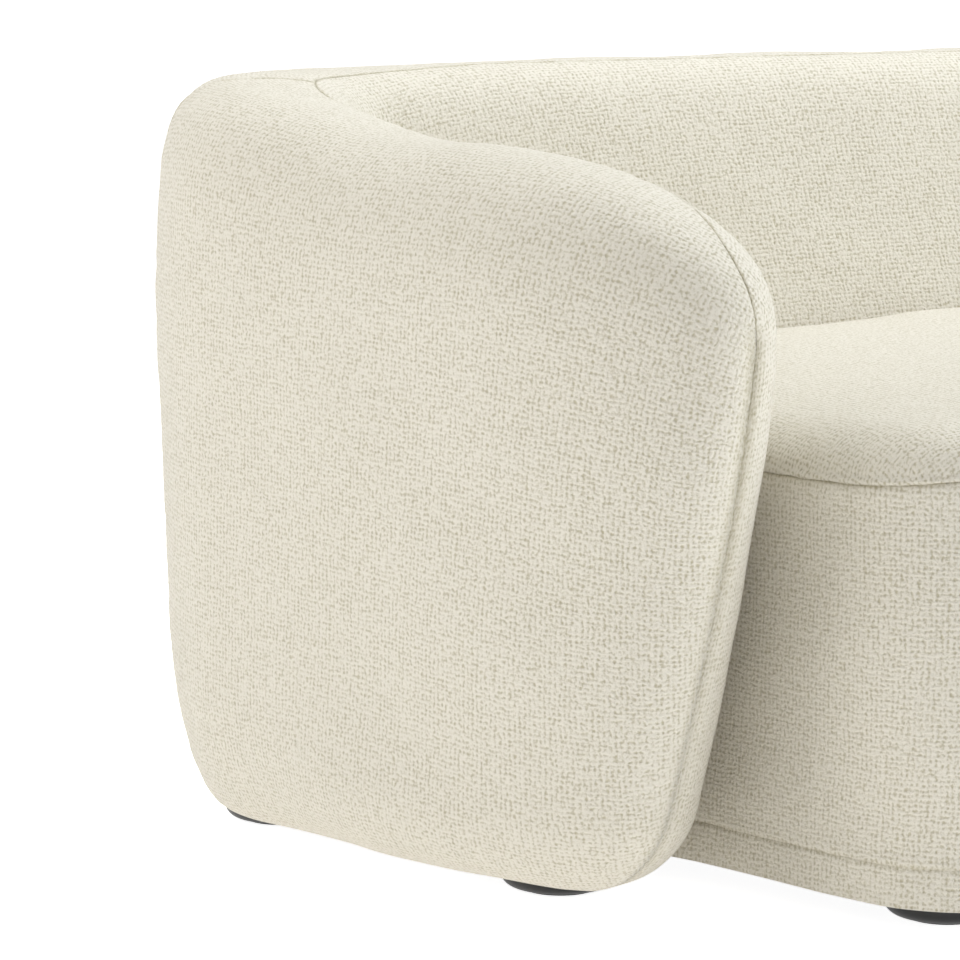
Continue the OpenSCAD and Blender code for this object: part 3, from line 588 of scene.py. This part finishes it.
for node, mat in {
    "base_board": ply_m, "dust_cover": lining_m, "shell_outer_lining": ply_m,
    "shell_inner_lining": ply_m, "shell_top_rail": ply_m, "shell_ribs": ply_m,
    "arm_front_posts": beech_m, "seat_wall": ply_m, "seat_deck_frame": ply_m,
    "seat_cross_beams": beech_m, "seat_corner_blocks": beech_m, "zigzag_springs": spring_m,
    "spring_clips": zinc_m, "spring_tie_strips": spring_m, "deck_felt": felt_m,
    "seat_foam": foam_m, "crown_wadding": wad_m, "border_padding": foam_m,
    "foot_glides": glide_m, "foot_bolts": zinc_m, "foot_tee_nuts": zinc_m,
    "frame_screws": zinc_m, "nose_foam_left": foam_m, "nose_foam_right": foam_m,
    "arm_foam_left": foam_m, "arm_foam_right": foam_m, "corner_foam_left": foam_m,
    "corner_foam_right": foam_m, "back_foam": foam_m,
}.items():
    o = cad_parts[node]
    o.data.materials.clear()
    o.data.materials.append(mat)


# ------------------------------------------------------------------ shell covers
LAST = 2 * HALF_LEN                       # plan line of both halves
SPLIT = ARM_LEN + CORNER_LEN * 0.5 - 50   # upright seam between the arm's and the back's cloth
LOW_EDGE = FOOT_H - 0.8                   # height of the turned-under edge
TURN_UNDER = np.array([34.0, 26, 18, 11, 6, 3, 1.2])


def section(s, phi_a, phi_b, ends=(True, True), count=None):
    """phi values round the section at each s, spaced by real distance, dense beside the seams.
    count holds the distances of the first section; the others stretch only their middle."""
    fine = np.linspace(0, 1, 700)
    first, last = (EDGE_REACH if sewn else 0.0 for sewn in ends)
    out = []
    for si, a, b in zip(s, phi_a, phi_b):
        ph = a + (b - a) * fine
        run = run_along(shell_point(np.full(ph.shape, si), ph))
        if count is None:
            count = near_edge(run[-1], both=ends)
        t = count.copy()
        mid = (count > first) & (count < count[-1] - last)
        share = (count[mid] - first) / (count[-1] - first - last)
        t[mid] = first + share * (run[-1] - first - last)
        tail = count >= count[-1] - last
        t[tail] = run[-1] - (count[-1] - count[tail])
        out.append(np.interp(t, run, ph))
    return np.array(out), count


def stations(a, b):
    """Distances along the plan line, dense where the nose is tightly curved."""
    half = np.linspace(0, HALF_LEN, 6001)
    run = run_along(left_point(half, np.full(half.shape, 0.33)))
    s = np.interp(near_edge(run[-1], both=(True, False)), run, half)
    s[0] = 0
    full = np.r_[s, (LAST - s[:-1])[::-1]]
    keep = full[(full > a + 1.0) & (full < b - 1.0)]
    ends_a = [a] if a <= 0 else list(a + EDGE_STEPS)
    ends_b = [b] if b >= LAST else list(b - EDGE_STEPS[::-1])
    keep = keep[(keep > ends_a[-1] + 2) | (a <= 0)]
    keep = keep[(keep < ends_b[0] - 2) | (b >= LAST)]
    return np.unique(np.r_[ends_a, keep, ends_b])


def shell_panel(name, s, phi_low, middle, outer, seed):
    """One panel of the shell's cloth, from its free lower edge at phi_low to the top seam, and sewn
    at both ends. middle is the station at which its weave coordinates start."""
    ends = (False, True)
    phi_a, phi_b = np.full(s.size, phi_low), seam_phi(s)
    ref = s[len(s) // 2]
    _, count = section([ref], [phi_low], [np.interp(ref, s, phi_b)], ends=ends)
    phi, _ = section(s, phi_a, phi_b, ends=ends, count=count)
    # the lower edge is turned under the frame: the first columns run inwards below it
    turned = len(TURN_UNDER)
    phi = np.concatenate([np.repeat(phi[:, :1], turned, 1), phi], 1)
    S = np.repeat(s[:, None], phi.shape[1], 1)
    p = shell_point(S, phi)
    p[:, :turned, :2] = shell_point(S[:, :turned], phi[:, :turned], TURN_UNDER[None])[..., :2]
    p[:, :turned, 2] = LOW_EDGE
    rows, cols = run_length(p, 0), run_length(p, 1)
    end_dist = np.minimum(FAR, np.minimum(rows, rows[-1:] - rows))
    side_dist = np.minimum(FAR, cols[:, -1:] - cols)
    dist = np.minimum(end_dist, side_dist)
    # the dip beside a seam fades out where two seams meet
    meet = 1 - np.exp(-((end_dist + side_dist) / 14) ** 2)
    # down the noses the upright seam grows faint, as the cloth is drawn tight beside it
    along = np.minimum(S, LAST - S)
    upright = (along < OUTER_NOSE) & (end_dist < side_dist)
    faint = np.where(upright, 0.2 + 0.8 * smooth((p[..., 2] - 120) / 400), 1.0)
    n = normals(p)
    if outer:
        n = -n
    # at a point where a whole row is pinched the direction comes from its neighbour
    for end, inside in ((0, 1), (-1, -2)):
        bad = np.linalg.norm(p[end] - p[inside], axis=-1) < 1e-6
        n[end][bad] = n[inside][bad]
    pucker = waves(p, 34, seed, 9) * np.exp(-dist / 22) * 0.7
    soft = waves(p, 210, seed + 1) * 1.1 + waves(p, 90, seed + 2) * 0.35
    if not outer:
        # the padding lifts the inner cover round the rear corners, and lets it swell less there
        corner = np.exp(-((along - ARM_LEN - CORNER_LEN / 2) / 150) ** 2)
        soft = soft * (1 - 0.6 * corner) + 1.8 * corner
    p = p + n * (seam_profile(dist) * meet * faint + pucker * np.clip(dist / 5, 0, 1)
                 + soft * free(dist))[..., None]
    p[..., 2] = np.maximum(p[..., 2], LOW_EDGE)
    p[:, :turned, 2] = LOW_EDGE
    uv = np.stack([rows - rows[middle], cols], -1)
    return grid_mesh(name, p, uv, painted_seam_shade(dist, 1.9) * faint, cloth_m, flip=outer)


def mirror_of(o, name):
    """The same panel for the other side of the sofa."""
    mesh = o.data.copy()
    co = np.zeros(len(mesh.vertices) * 3, np.float32)
    mesh.vertices.foreach_get("co", co)
    co = co.reshape(-1, 3)
    co[:, 0] *= -1
    mesh.vertices.foreach_set("co", co.ravel())
    mesh.flip_normals()
    twin = add_object(name, mesh)
    thicken(twin)
    return twin


s = stations(0, SPLIT)
arm_l = shell_panel("arm_outer_cloth_left", s, 0.0, -1, True, 11)
lay_flat(arm_l, (0, 1, 0))
arm_r = mirror_of(arm_l, "arm_outer_cloth_right")
s = stations(SPLIT, LAST - SPLIT)
back_o = shell_panel("back_outer_cloth", s, 0.0, s.size // 2, True, 21)
lay_flat(back_o, (-1, 0, 0))
s = stations(0, LAST)
inner = shell_panel("shell_inner_cloth", s, 1.0, s.size // 2, False, 31)
lay_flat(inner, (1, 0, 0))

# ------------------------------------------------------------------ seat
SIDE_LEAN, FLARE = 13.5, 12.0
FRONT_X, FRONT_Y = -HALF_W + 423, -SOFA_D / 2 + 116.5
FRONT_MID = -SOFA_D / 2 + FLARE
CENTRE_X = FRONT_X + CORNER_R * cosd(SIDE_LEAN)
CENTRE_Y = FRONT_Y + CORNER_R * sind(SIDE_LEAN)
CORNER_END, CORNER_MID = ARM_LEN + CORNER_LEN, ARM_LEN + CORNER_LEN / 2
SWEEP = 90 - SIDE_LEAN


def seat_corners():
    """The 72 corners of the seat's plan: rear centre, left side, front, right side."""
    s = np.r_[np.linspace(HALF_LEN, CORNER_END + 110, 8),
              CORNER_END + np.array([70, 40, 15, 0]), CORNER_MID,
              ARM_LEN - 10, ARM_LEN - 50, 500, 400, 290]
    x, y = beside(s, -(half_at(s, False) + swell(s, 200.0) + 1.5))
    left = list(zip(x, y))
    sx, sy = FRONT_X - 53, FRONT_Y + 220
    left += [(sx, sy), ((sx + FRONT_X) / 2, (sy + FRONT_Y) / 2), (FRONT_X, FRONT_Y)]
    for i in range(1, 9):
        a = SWEEP * i / 8 - SWEEP
        left.append((CENTRE_X + CORNER_R * sind(a), CENTRE_Y - CORNER_R * cosd(a)))
    ax, ay = left[-1]
    for i in range(1, 9):
        left.append((ax * (1 - i / 8), ay + (FRONT_MID - ay) * float(smooth(i / 8))))
    left = np.array(left, float)
    return np.vstack([left, (left[1:-1] * [-1, 1])[::-1]])


CORNERS = seat_corners()
LOOP = len(CORNERS)
TURNS = LOOP // 2
ARM_LAST = 17    # the last corner beside the arm; the free front starts there
# corner numbers at which the top's front, sides and rear meet; the rear runs from REAR_LEFT down
# through 0, so its right end is -REAR_LEFT
REAR_LEFT, FRONT_LEFT, FRONT_RIGHT, REAR_RIGHT = 12, 24, 48, 60
HEM_START = 15.6
SEAT_STEP = 9.0
# the top's nominal size and the width of its rolled edges, in mm
SPAN_X, SPAN_Y = 1500.0, 720.0
ROLL_SIDE, ROLL_FRONT, ROLL_REAR = 60.0, 80.0, 40.0
CROWN_FALL, CROWN_REACH = 50.0, 800.0    # the crown is CROWN_FALL lower this far from the middle


def plan_at(k):
    """Smooth plan point at corner number k, which may fall between two corners."""
    k = np.asarray(k, float) % LOOP
    i = np.floor(k).astype(int)
    t = (k - i)[..., None]
    p = [CORNERS[(i + j) % LOOP] for j in (-1, 0, 1, 2)]
    gap = np.linalg.norm(p[2] - p[1], axis=-1, keepdims=True)
    before = np.linalg.norm(p[1] - p[0], axis=-1, keepdims=True)
    after = np.linalg.norm(p[3] - p[2], axis=-1, keepdims=True)
    m1 = gap * ((p[1] - p[0]) / before * gap + (p[2] - p[1]) / gap * before) / (gap + before)
    m2 = gap * ((p[2] - p[1]) / gap * after + (p[3] - p[2]) / after * gap) / (gap + after)
    return ((2 * t**3 - 3 * t**2 + 1) * p[1] + (t**3 - 2 * t**2 + t) * m1
            + (-2 * t**3 + 3 * t**2) * p[2] + (t**3 - t**2) * m2)


def fold(k):
    """Corner number of the left half that stands for k."""
    m = np.asarray(k, float) % LOOP
    return np.where(m <= TURNS, m, LOOP - m)


def plan_out(k, off):
    """Plan point off mm outside the seat's outline."""
    t = plan_at(k + 0.02) - plan_at(k - 0.02)
    t /= np.linalg.norm(t, axis=-1, keepdims=True)
    off = np.asarray(off, float)[..., None]
    return plan_at(k) + np.stack([t[..., 1], -t[..., 0]], -1) * off


def flare_at(k, z):
    """How far the front leans out at height z. It starts past the last corner beside the arm."""
    return FLARE * smooth((fold(k) - ARM_LAST) / 3) * smooth((z - FOOT_H) / 260)


def seam_at(k):
    """Height of the seam between the seat's top and its border."""
    m = fold(k)
    rise = np.where(m >= ARM_LAST, smooth((m - ARM_LAST) / 13), smooth((ARM_LAST - m) / 8))
    return SEAM_Z + SEAM_RISE * rise


def even_k(step, k0=0.0, k1=float(LOOP)):
    """Corner numbers an even step of mm apart along the outline."""
    k = np.linspace(k0, k1, 6001)
    run = np.r_[0, np.cumsum(np.linalg.norm(np.diff(plan_at(k), axis=0), axis=1))]
    n = int(round(run[-1] / step / 2)) * 2
    return np.interp(np.linspace(0, run[-1], n + 1), run, k)


def band_panel(name, k, z_low, z_high, seams, seed, bulge=3.0):
    """A band of cloth round the seat between two heights. seams names its sewn edges."""
    z0, z1 = z_low(k), z_high(k)
    t = near_edge(float(np.mean(z1 - z0)))
    K = np.repeat(k[:, None], t.size, 1)
    Z = z0[:, None] + (z1 - z0)[:, None] * (t / t[-1])[None]
    xy = plan_out(K, flare_at(K, Z))
    p = np.concatenate([xy, Z[..., None]], -1)
    cols = run_length(p, 1)
    dist = np.full(Z.shape, FAR)
    if "low" in seams:
        dist = np.minimum(dist, cols)
    if "high" in seams:
        dist = np.minimum(dist, cols[:, -1:] - cols)
    n = normals(p)
    share = (Z - z0[:, None]) / (z1 - z0)[:, None]
    pucker = waves(p, 30, seed) * np.exp(-dist / 20) * 0.8
    soft = waves(p, 190, seed + 1) * 1.0 + waves(p, 80, seed + 2) * 0.3
    p = p + n * (seam_profile(dist, 1.9, 3.6) + pucker + soft * free(dist)
                 + bulge * np.sin(math.pi * share) - 0.6)[..., None]
    rows = run_length(p, 0)
    uv = np.stack([rows - rows[len(k) // 2], cols], -1)
    return grid_mesh(name, p, uv, painted_seam_shade(dist), cloth_m, flip=True)


def level(z):
    """The same height at every corner number."""
    return lambda k: np.full(k.shape, z)


border = band_panel("seat_border_cloth", even_k(SEAT_STEP), level(HEM_Z), seam_at, ("low", "high"), 41)
hem = band_panel("seat_hem_cloth", even_k(SEAT_STEP, HEM_START, LOOP - HEM_START), level(FOOT_H),
                 level(HEM_Z), ("high",), 51, 0.8)


def round_over(t):
    """Quarter round: 0 at the edge, 1 from t = 1 on."""
    return np.sqrt(np.maximum(0, 1 - (1 - clip(t)) ** 2))


def edge_share(width, reach_a, reach_b):
    """0..1 across a span, dense over the rolled edges."""
    a = reach_a * (1 - np.cos(np.linspace(0, math.pi / 2, 26)))
    b = width - reach_b * (1 - np.cos(np.linspace(math.pi / 2, 0, 26)))
    n = int(round((b[0] - a[-1]) / SEAT_STEP))
    return np.r_[a, np.linspace(a[-1], b[0], n + 1)[1:-1], b] / width


def along_edge(k_from, k_to, share, axis):
    """How far along its corner numbers, 0..1, the edge has reached each share of its extent."""
    k = np.linspace(k_from, k_to, 4001)
    c = plan_at(k)[:, axis]
    c = (c - c[0]) / (c[-1] - c[0])
    c = np.maximum.accumulate(c) + np.linspace(0, 1e-9, c.size)
    return (np.interp(share, c, k) - k_from) / (k_to - k_from)


def seam_edge(k):
    """Points of the seam round the seat's top."""
    z = seam_at(k)
    return np.concatenate([plan_out(k, flare_at(k, z)), z[..., None]], -1)


def crown_points(across, deep):
    """Points of the crowned top, at shares across (left to right) and deep (front to back)."""
    width, depth = FRONT_RIGHT - FRONT_LEFT, FRONT_LEFT - REAR_LEFT
    front = FRONT_LEFT + width * along_edge(FRONT_LEFT, FRONT_RIGHT, across, 0)
    rear = REAR_LEFT - width * along_edge(REAR_LEFT, -REAR_LEFT, across, 0)
    left = FRONT_LEFT - depth * along_edge(FRONT_LEFT, REAR_LEFT, deep, 1)
    right = FRONT_RIGHT + depth * along_edge(FRONT_RIGHT, REAR_RIGHT, deep, 1)
    f, r = seam_edge(front)[:, None], seam_edge(rear)[:, None]
    a, b = seam_edge(left)[None], seam_edge(right)[None]
    c = [seam_edge(np.array(float(k)))[None, None]
         for k in (FRONT_LEFT, FRONT_RIGHT, REAR_LEFT, REAR_RIGHT)]
    u, v = across[:, None, None], deep[None, :, None]
    p = ((1 - v) * f + v * r + (1 - u) * a + u * b
         - ((1 - u) * (1 - v) * c[0] + u * (1 - v) * c[1] + (1 - u) * v * c[2] + u * v * c[3]))
    rise = (round_over(np.minimum(u, 1 - u) * SPAN_X / ROLL_SIDE)
            * round_over(v * SPAN_Y / ROLL_FRONT)
            * round_over((1 - v) * SPAN_Y / ROLL_REAR))[..., 0]
    top = CROWN_Z - CROWN_FALL * (np.abs(p[..., 0]) / CROWN_REACH) ** 2.2
    p[..., 2] += (top - p[..., 2]) * rise
    return p


SETTLE_FRAMES = 20
LEAST_MOVE = 0.3    # keeps the cloth clear of the wadding, mm
TOP_LIFT = 0.9      # the top cover's height over the plain shape, mm


def puff_from_cloth(p, pressure=4.0, cap=4.0):
    """Lets a coarse copy of a cover settle as cloth blown from inside, held at its seams.
    Returns the outward part of each point's movement, in mm, scaled down if any is over cap."""
    rows, cols = p.shape[:2]
    idx = np.arange(rows * cols).reshape(rows, cols)
    v = p.reshape(-1, 3) / 1000
    mesh = bpy.data.meshes.new("settling_cloth")
    mesh.from_pydata(v.tolist(), [], grid_faces(idx).tolist())
    mesh.update()
    o = add_object("settling_cloth", mesh)
    g = o.vertex_groups.new(name="sewn")
    rim = np.r_[idx[0], idx[-1], idx[:, 0], idx[:, -1]]
    g.add([int(i) for i in np.unique(rim)], 1.0, "REPLACE")
    m = o.modifiers.new("cloth", "CLOTH")
    c = m.settings
    c.quality = 6
    c.mass = 0.4
    c.tension_stiffness = c.compression_stiffness = 18
    c.shear_stiffness = 8
    c.bending_stiffness = 0.6
    c.tension_damping = c.compression_damping = 12
    c.air_damping = 4
    c.vertex_group_mass = "sewn"
    c.pin_stiffness = 1.0
    c.use_pressure = True
    c.uniform_pressure_force = pressure
    c.shrink_min = -0.006
    c.effector_weights.gravity = 0.0
    m.collision_settings.use_collision = False
    m.point_cache.frame_start, m.point_cache.frame_end = 1, SETTLE_FRAMES
    for f in range(1, SETTLE_FRAMES + 1):
        bpy.context.scene.frame_set(f)
    dg = bpy.context.evaluated_depsgraph_get()
    e = o.evaluated_get(dg)
    out = np.zeros(len(mesh.vertices) * 3, np.float32)
    e.data.vertices.foreach_get("co", out)
    bpy.context.scene.frame_set(1)
    bpy.data.objects.remove(o)
    moved = out.reshape(p.shape).astype(float) * 1000 - p
    n = normals(p)
    out = (moved * n).sum(-1)
    print("cloth moved", out.min().round(1), out.max().round(1), "mm along its normal")
    return n * np.clip(out * min(1, cap / out.max()), LEAST_MOVE, cap)[..., None]


def spread(coarse, ua, va, ub, vb):
    """Carries a coarse grid of offsets on to a fine grid by straight interpolation."""
    mid = np.stack([np.stack([np.interp(ub, ua, coarse[:, j, c]) for j in range(va.size)], 1)
                    for c in range(3)], -1)
    return np.stack([np.stack([np.interp(vb, va, mid[i, :, c]) for i in range(ub.size)], 0)
                     for c in range(3)], -1)


u_share = edge_share(SPAN_X, ROLL_SIDE, ROLL_SIDE)
v_share = edge_share(SPAN_Y, ROLL_FRONT, ROLL_REAR)
top = crown_points(u_share, v_share)
cloth_note = "skipped"
ua, va = np.linspace(0, 1, 101), np.linspace(0, 1, 49)
coarse = crown_points(ua, va)
moved = puff_from_cloth(coarse)
cloth_note = f"seat top moved up to {np.abs(moved).max():.1f} mm"
top = top + spread(moved, ua, va, u_share, v_share)
print("cloth:", cloth_note)

rows, cols = run_length(top, 0), run_length(top, 1)
dist = np.minimum(np.minimum(rows, rows[-1:] - rows), np.minimum(cols, cols[:, -1:] - cols))
n = normals(top)
pucker = waves(top, 30, 61) * np.exp(-dist / 20) * 0.8
soft = waves(top, 230, 62) * 1.6 + waves(top, 95, 63) * 0.5
# the top's cloth stands a little proud of its seam, with a shallow groove behind this lip
lip = 2.2 * np.exp(-((dist - 4.2) / 2.6) ** 2) - 0.7 * np.exp(-((dist - 9.5) / 2.2) ** 2)
top = top + n * (-2.4 * np.clip(1 - dist / 2.4, 0, 1) + lip + pucker
                 + (TOP_LIFT + np.maximum(soft, -TOP_LIFT)) * free(dist))[..., None]
mid_u, mid_v = len(u_share) // 2, len(v_share) // 2
uv = np.stack([rows - rows[mid_u:mid_u + 1], cols - cols[:, mid_v:mid_v + 1]], -1)
seat_top = grid_mesh("seat_top_cloth", top, uv, painted_seam_shade(dist), cloth_m)


# ------------------------------------------------------------------ feet
def lathe(name, profile, centre, material, segments=96):
    """A turned piece: profile is radius and height in mm, from the floor up."""
    ang = np.linspace(0, 2 * math.pi, segments, endpoint=False)
    r, z = profile[:, 0], profile[:, 1]
    v = np.stack([r[:, None] * np.cos(ang), r[:, None] * np.sin(ang),
                  np.repeat(z[:, None], segments, 1)], -1)
    v[..., 0] += centre[0]
    v[..., 1] += centre[1]
    n = len(profile)
    idx = np.arange(n * segments).reshape(n, segments)
    nxt = np.roll(idx, -1, 1)
    q = np.stack([idx[:-1], nxt[:-1], nxt[1:], idx[1:]], -1).reshape(-1, 4)
    mesh = bpy.data.meshes.new(name)
    mesh.from_pydata((v.reshape(-1, 3) / 1000).tolist(), [],
                     [tuple(map(int, f)) for f in q] + [tuple(map(int, idx[0][::-1])),
                                                        tuple(map(int, idx[-1]))])
    for f in mesh.polygons:
        f.use_smooth = len(f.vertices) == 4
    mesh.update()
    mesh.materials.append(material)
    return add_object(name, mesh)


FOOT_BASE_R = 39.0     # radius on the floor, mm
FOOT_ROUND_H = 13.5    # height of its rounded lower edge
feet = [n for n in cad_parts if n.startswith("foot_")
        and n.split("_")[1] in ("arm", "seat", "corner", "back", "deck")]
for node in feet:
    a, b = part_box(node)
    cx, cy = (a.x + b.x) * 500, (a.y + b.y) * 500
    z0, z1 = a.z * 1000, b.z * 1000
    top_r = (b.x - a.x) * 500
    w = top_r - FOOT_BASE_R
    th = np.linspace(0, math.pi / 2, 14)
    prof = [(FOOT_BASE_R - 1.2, z0)]
    prof += [(FOOT_BASE_R + w * math.sin(x), z0 + 0.5 + FOOT_ROUND_H * (1 - math.cos(x)))
             for x in th]
    prof += [(top_r, z) for z in np.linspace(z0 + 15, z1 - 1.4, 5)]
    prof += [(top_r - 0.5, z1 - 0.5), (top_r - 1.6, z1)]
    f = lathe(node + "_turned", np.array(prof), (cx, cy), black_m)
    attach(f, "root")
    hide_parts(node)

for o, nodes, fill in (
        (arm_l, ["arm_outer_cover_left"], 0.9), (arm_r, ["arm_outer_cover_right"], 0.9),
        (back_o, ["back_outer_cover"], 0.9), (inner, ["inner_cover"], 0.9),
        (seat_top, ["seat_top_cover"], 0.85), (border, ["seat_border_cover"], 0.9),
        (hem, ["hem_band"], None)):
    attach(o, "root")
    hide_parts(*nodes)

# ------------------------------------------------------------------ floor, light, camera
floor_m, t, b = start("studio_floor")
b.inputs["Base Color"].default_value = (0.93, 0.93, 0.93, 1)
b.inputs["Roughness"].default_value = 0.9
b.inputs["Specular IOR Level"].default_value = 0.05
b.inputs["Emission Color"].default_value = (1, 1, 1, 1)
seen = t.nodes.new("ShaderNodeLightPath").outputs["Is Camera Ray"]
t.links.new(math_node(t, "MULTIPLY_ADD", seen, 0.42, 0.50), b.inputs["Emission Strength"])
mesh = bpy.data.meshes.new("studio_floor")
mesh.from_pydata([(-30, -30, 0), (30, -30, 0), (30, 30, 0), (-30, 30, 0)], [], [(0, 1, 2, 3)])
mesh.materials.append(floor_m)
floor = add_object("studio_floor", mesh)


def area(name, place, target, size, power, colour):
    """A soft rectangular light at place, turned to target."""
    light = bpy.data.lights.new(name, "AREA")
    light.shape = "RECTANGLE"
    light.size, light.size_y = size
    light.energy = power
    light.color = colour
    o = add_object(name, light)
    o.location = place
    d = Vector(target) - Vector(place)
    o.rotation_mode = "QUATERNION"
    o.rotation_quaternion = d.to_track_quat("-Z", "Y")


area("key_soft", (-3.2, 0.4, 2.6), (-0.8, 0, 0.4), (3.2, 3.0), 52, (1.0, 0.985, 0.955))
area("fill_right", (3.4, -2.6, 1.6), (-0.5, -0.3, 0.4), (2.6, 2.6), 124, (0.92, 0.965, 1.0))
area("top_soft", (0.4, 0.4, 3.6), (0, 0, 0.3), (4.5, 3.0), 114, (0.94, 0.975, 1.0))

world = bpy.data.worlds.new("studio")
bpy.context.scene.world = world
world.use_nodes = True
bg = world.node_tree.nodes["Background"]
bg.inputs[0].default_value = (1.0, 1.0, 1.0, 1)
wt = world.node_tree
seen = wt.nodes.new("ShaderNodeLightPath").outputs["Is Camera Ray"]
wt.links.new(math_node(wt, "MULTIPLY_ADD", seen, 0.73, 0.32), bg.inputs[1])

cam = bpy.data.cameras.new("camera")
cam.lens, cam.sensor_width = 171.0, 36.0
cam.clip_start, cam.clip_end = 0.05, 100
eye = add_object("camera", cam)
eye.location = (-2.9066, -3.8835, 1.0)
pitch, yaw = math.radians(8.05), math.radians(27.0)
look = Vector((math.sin(yaw) * math.cos(pitch), math.cos(yaw) * math.cos(pitch), -math.sin(pitch)))
eye.rotation_mode = "QUATERNION"
eye.rotation_quaternion = look.to_track_quat("-Z", "Y")
bpy.context.scene.camera = eye
bpy.context.scene.view_settings.view_transform = "Standard"
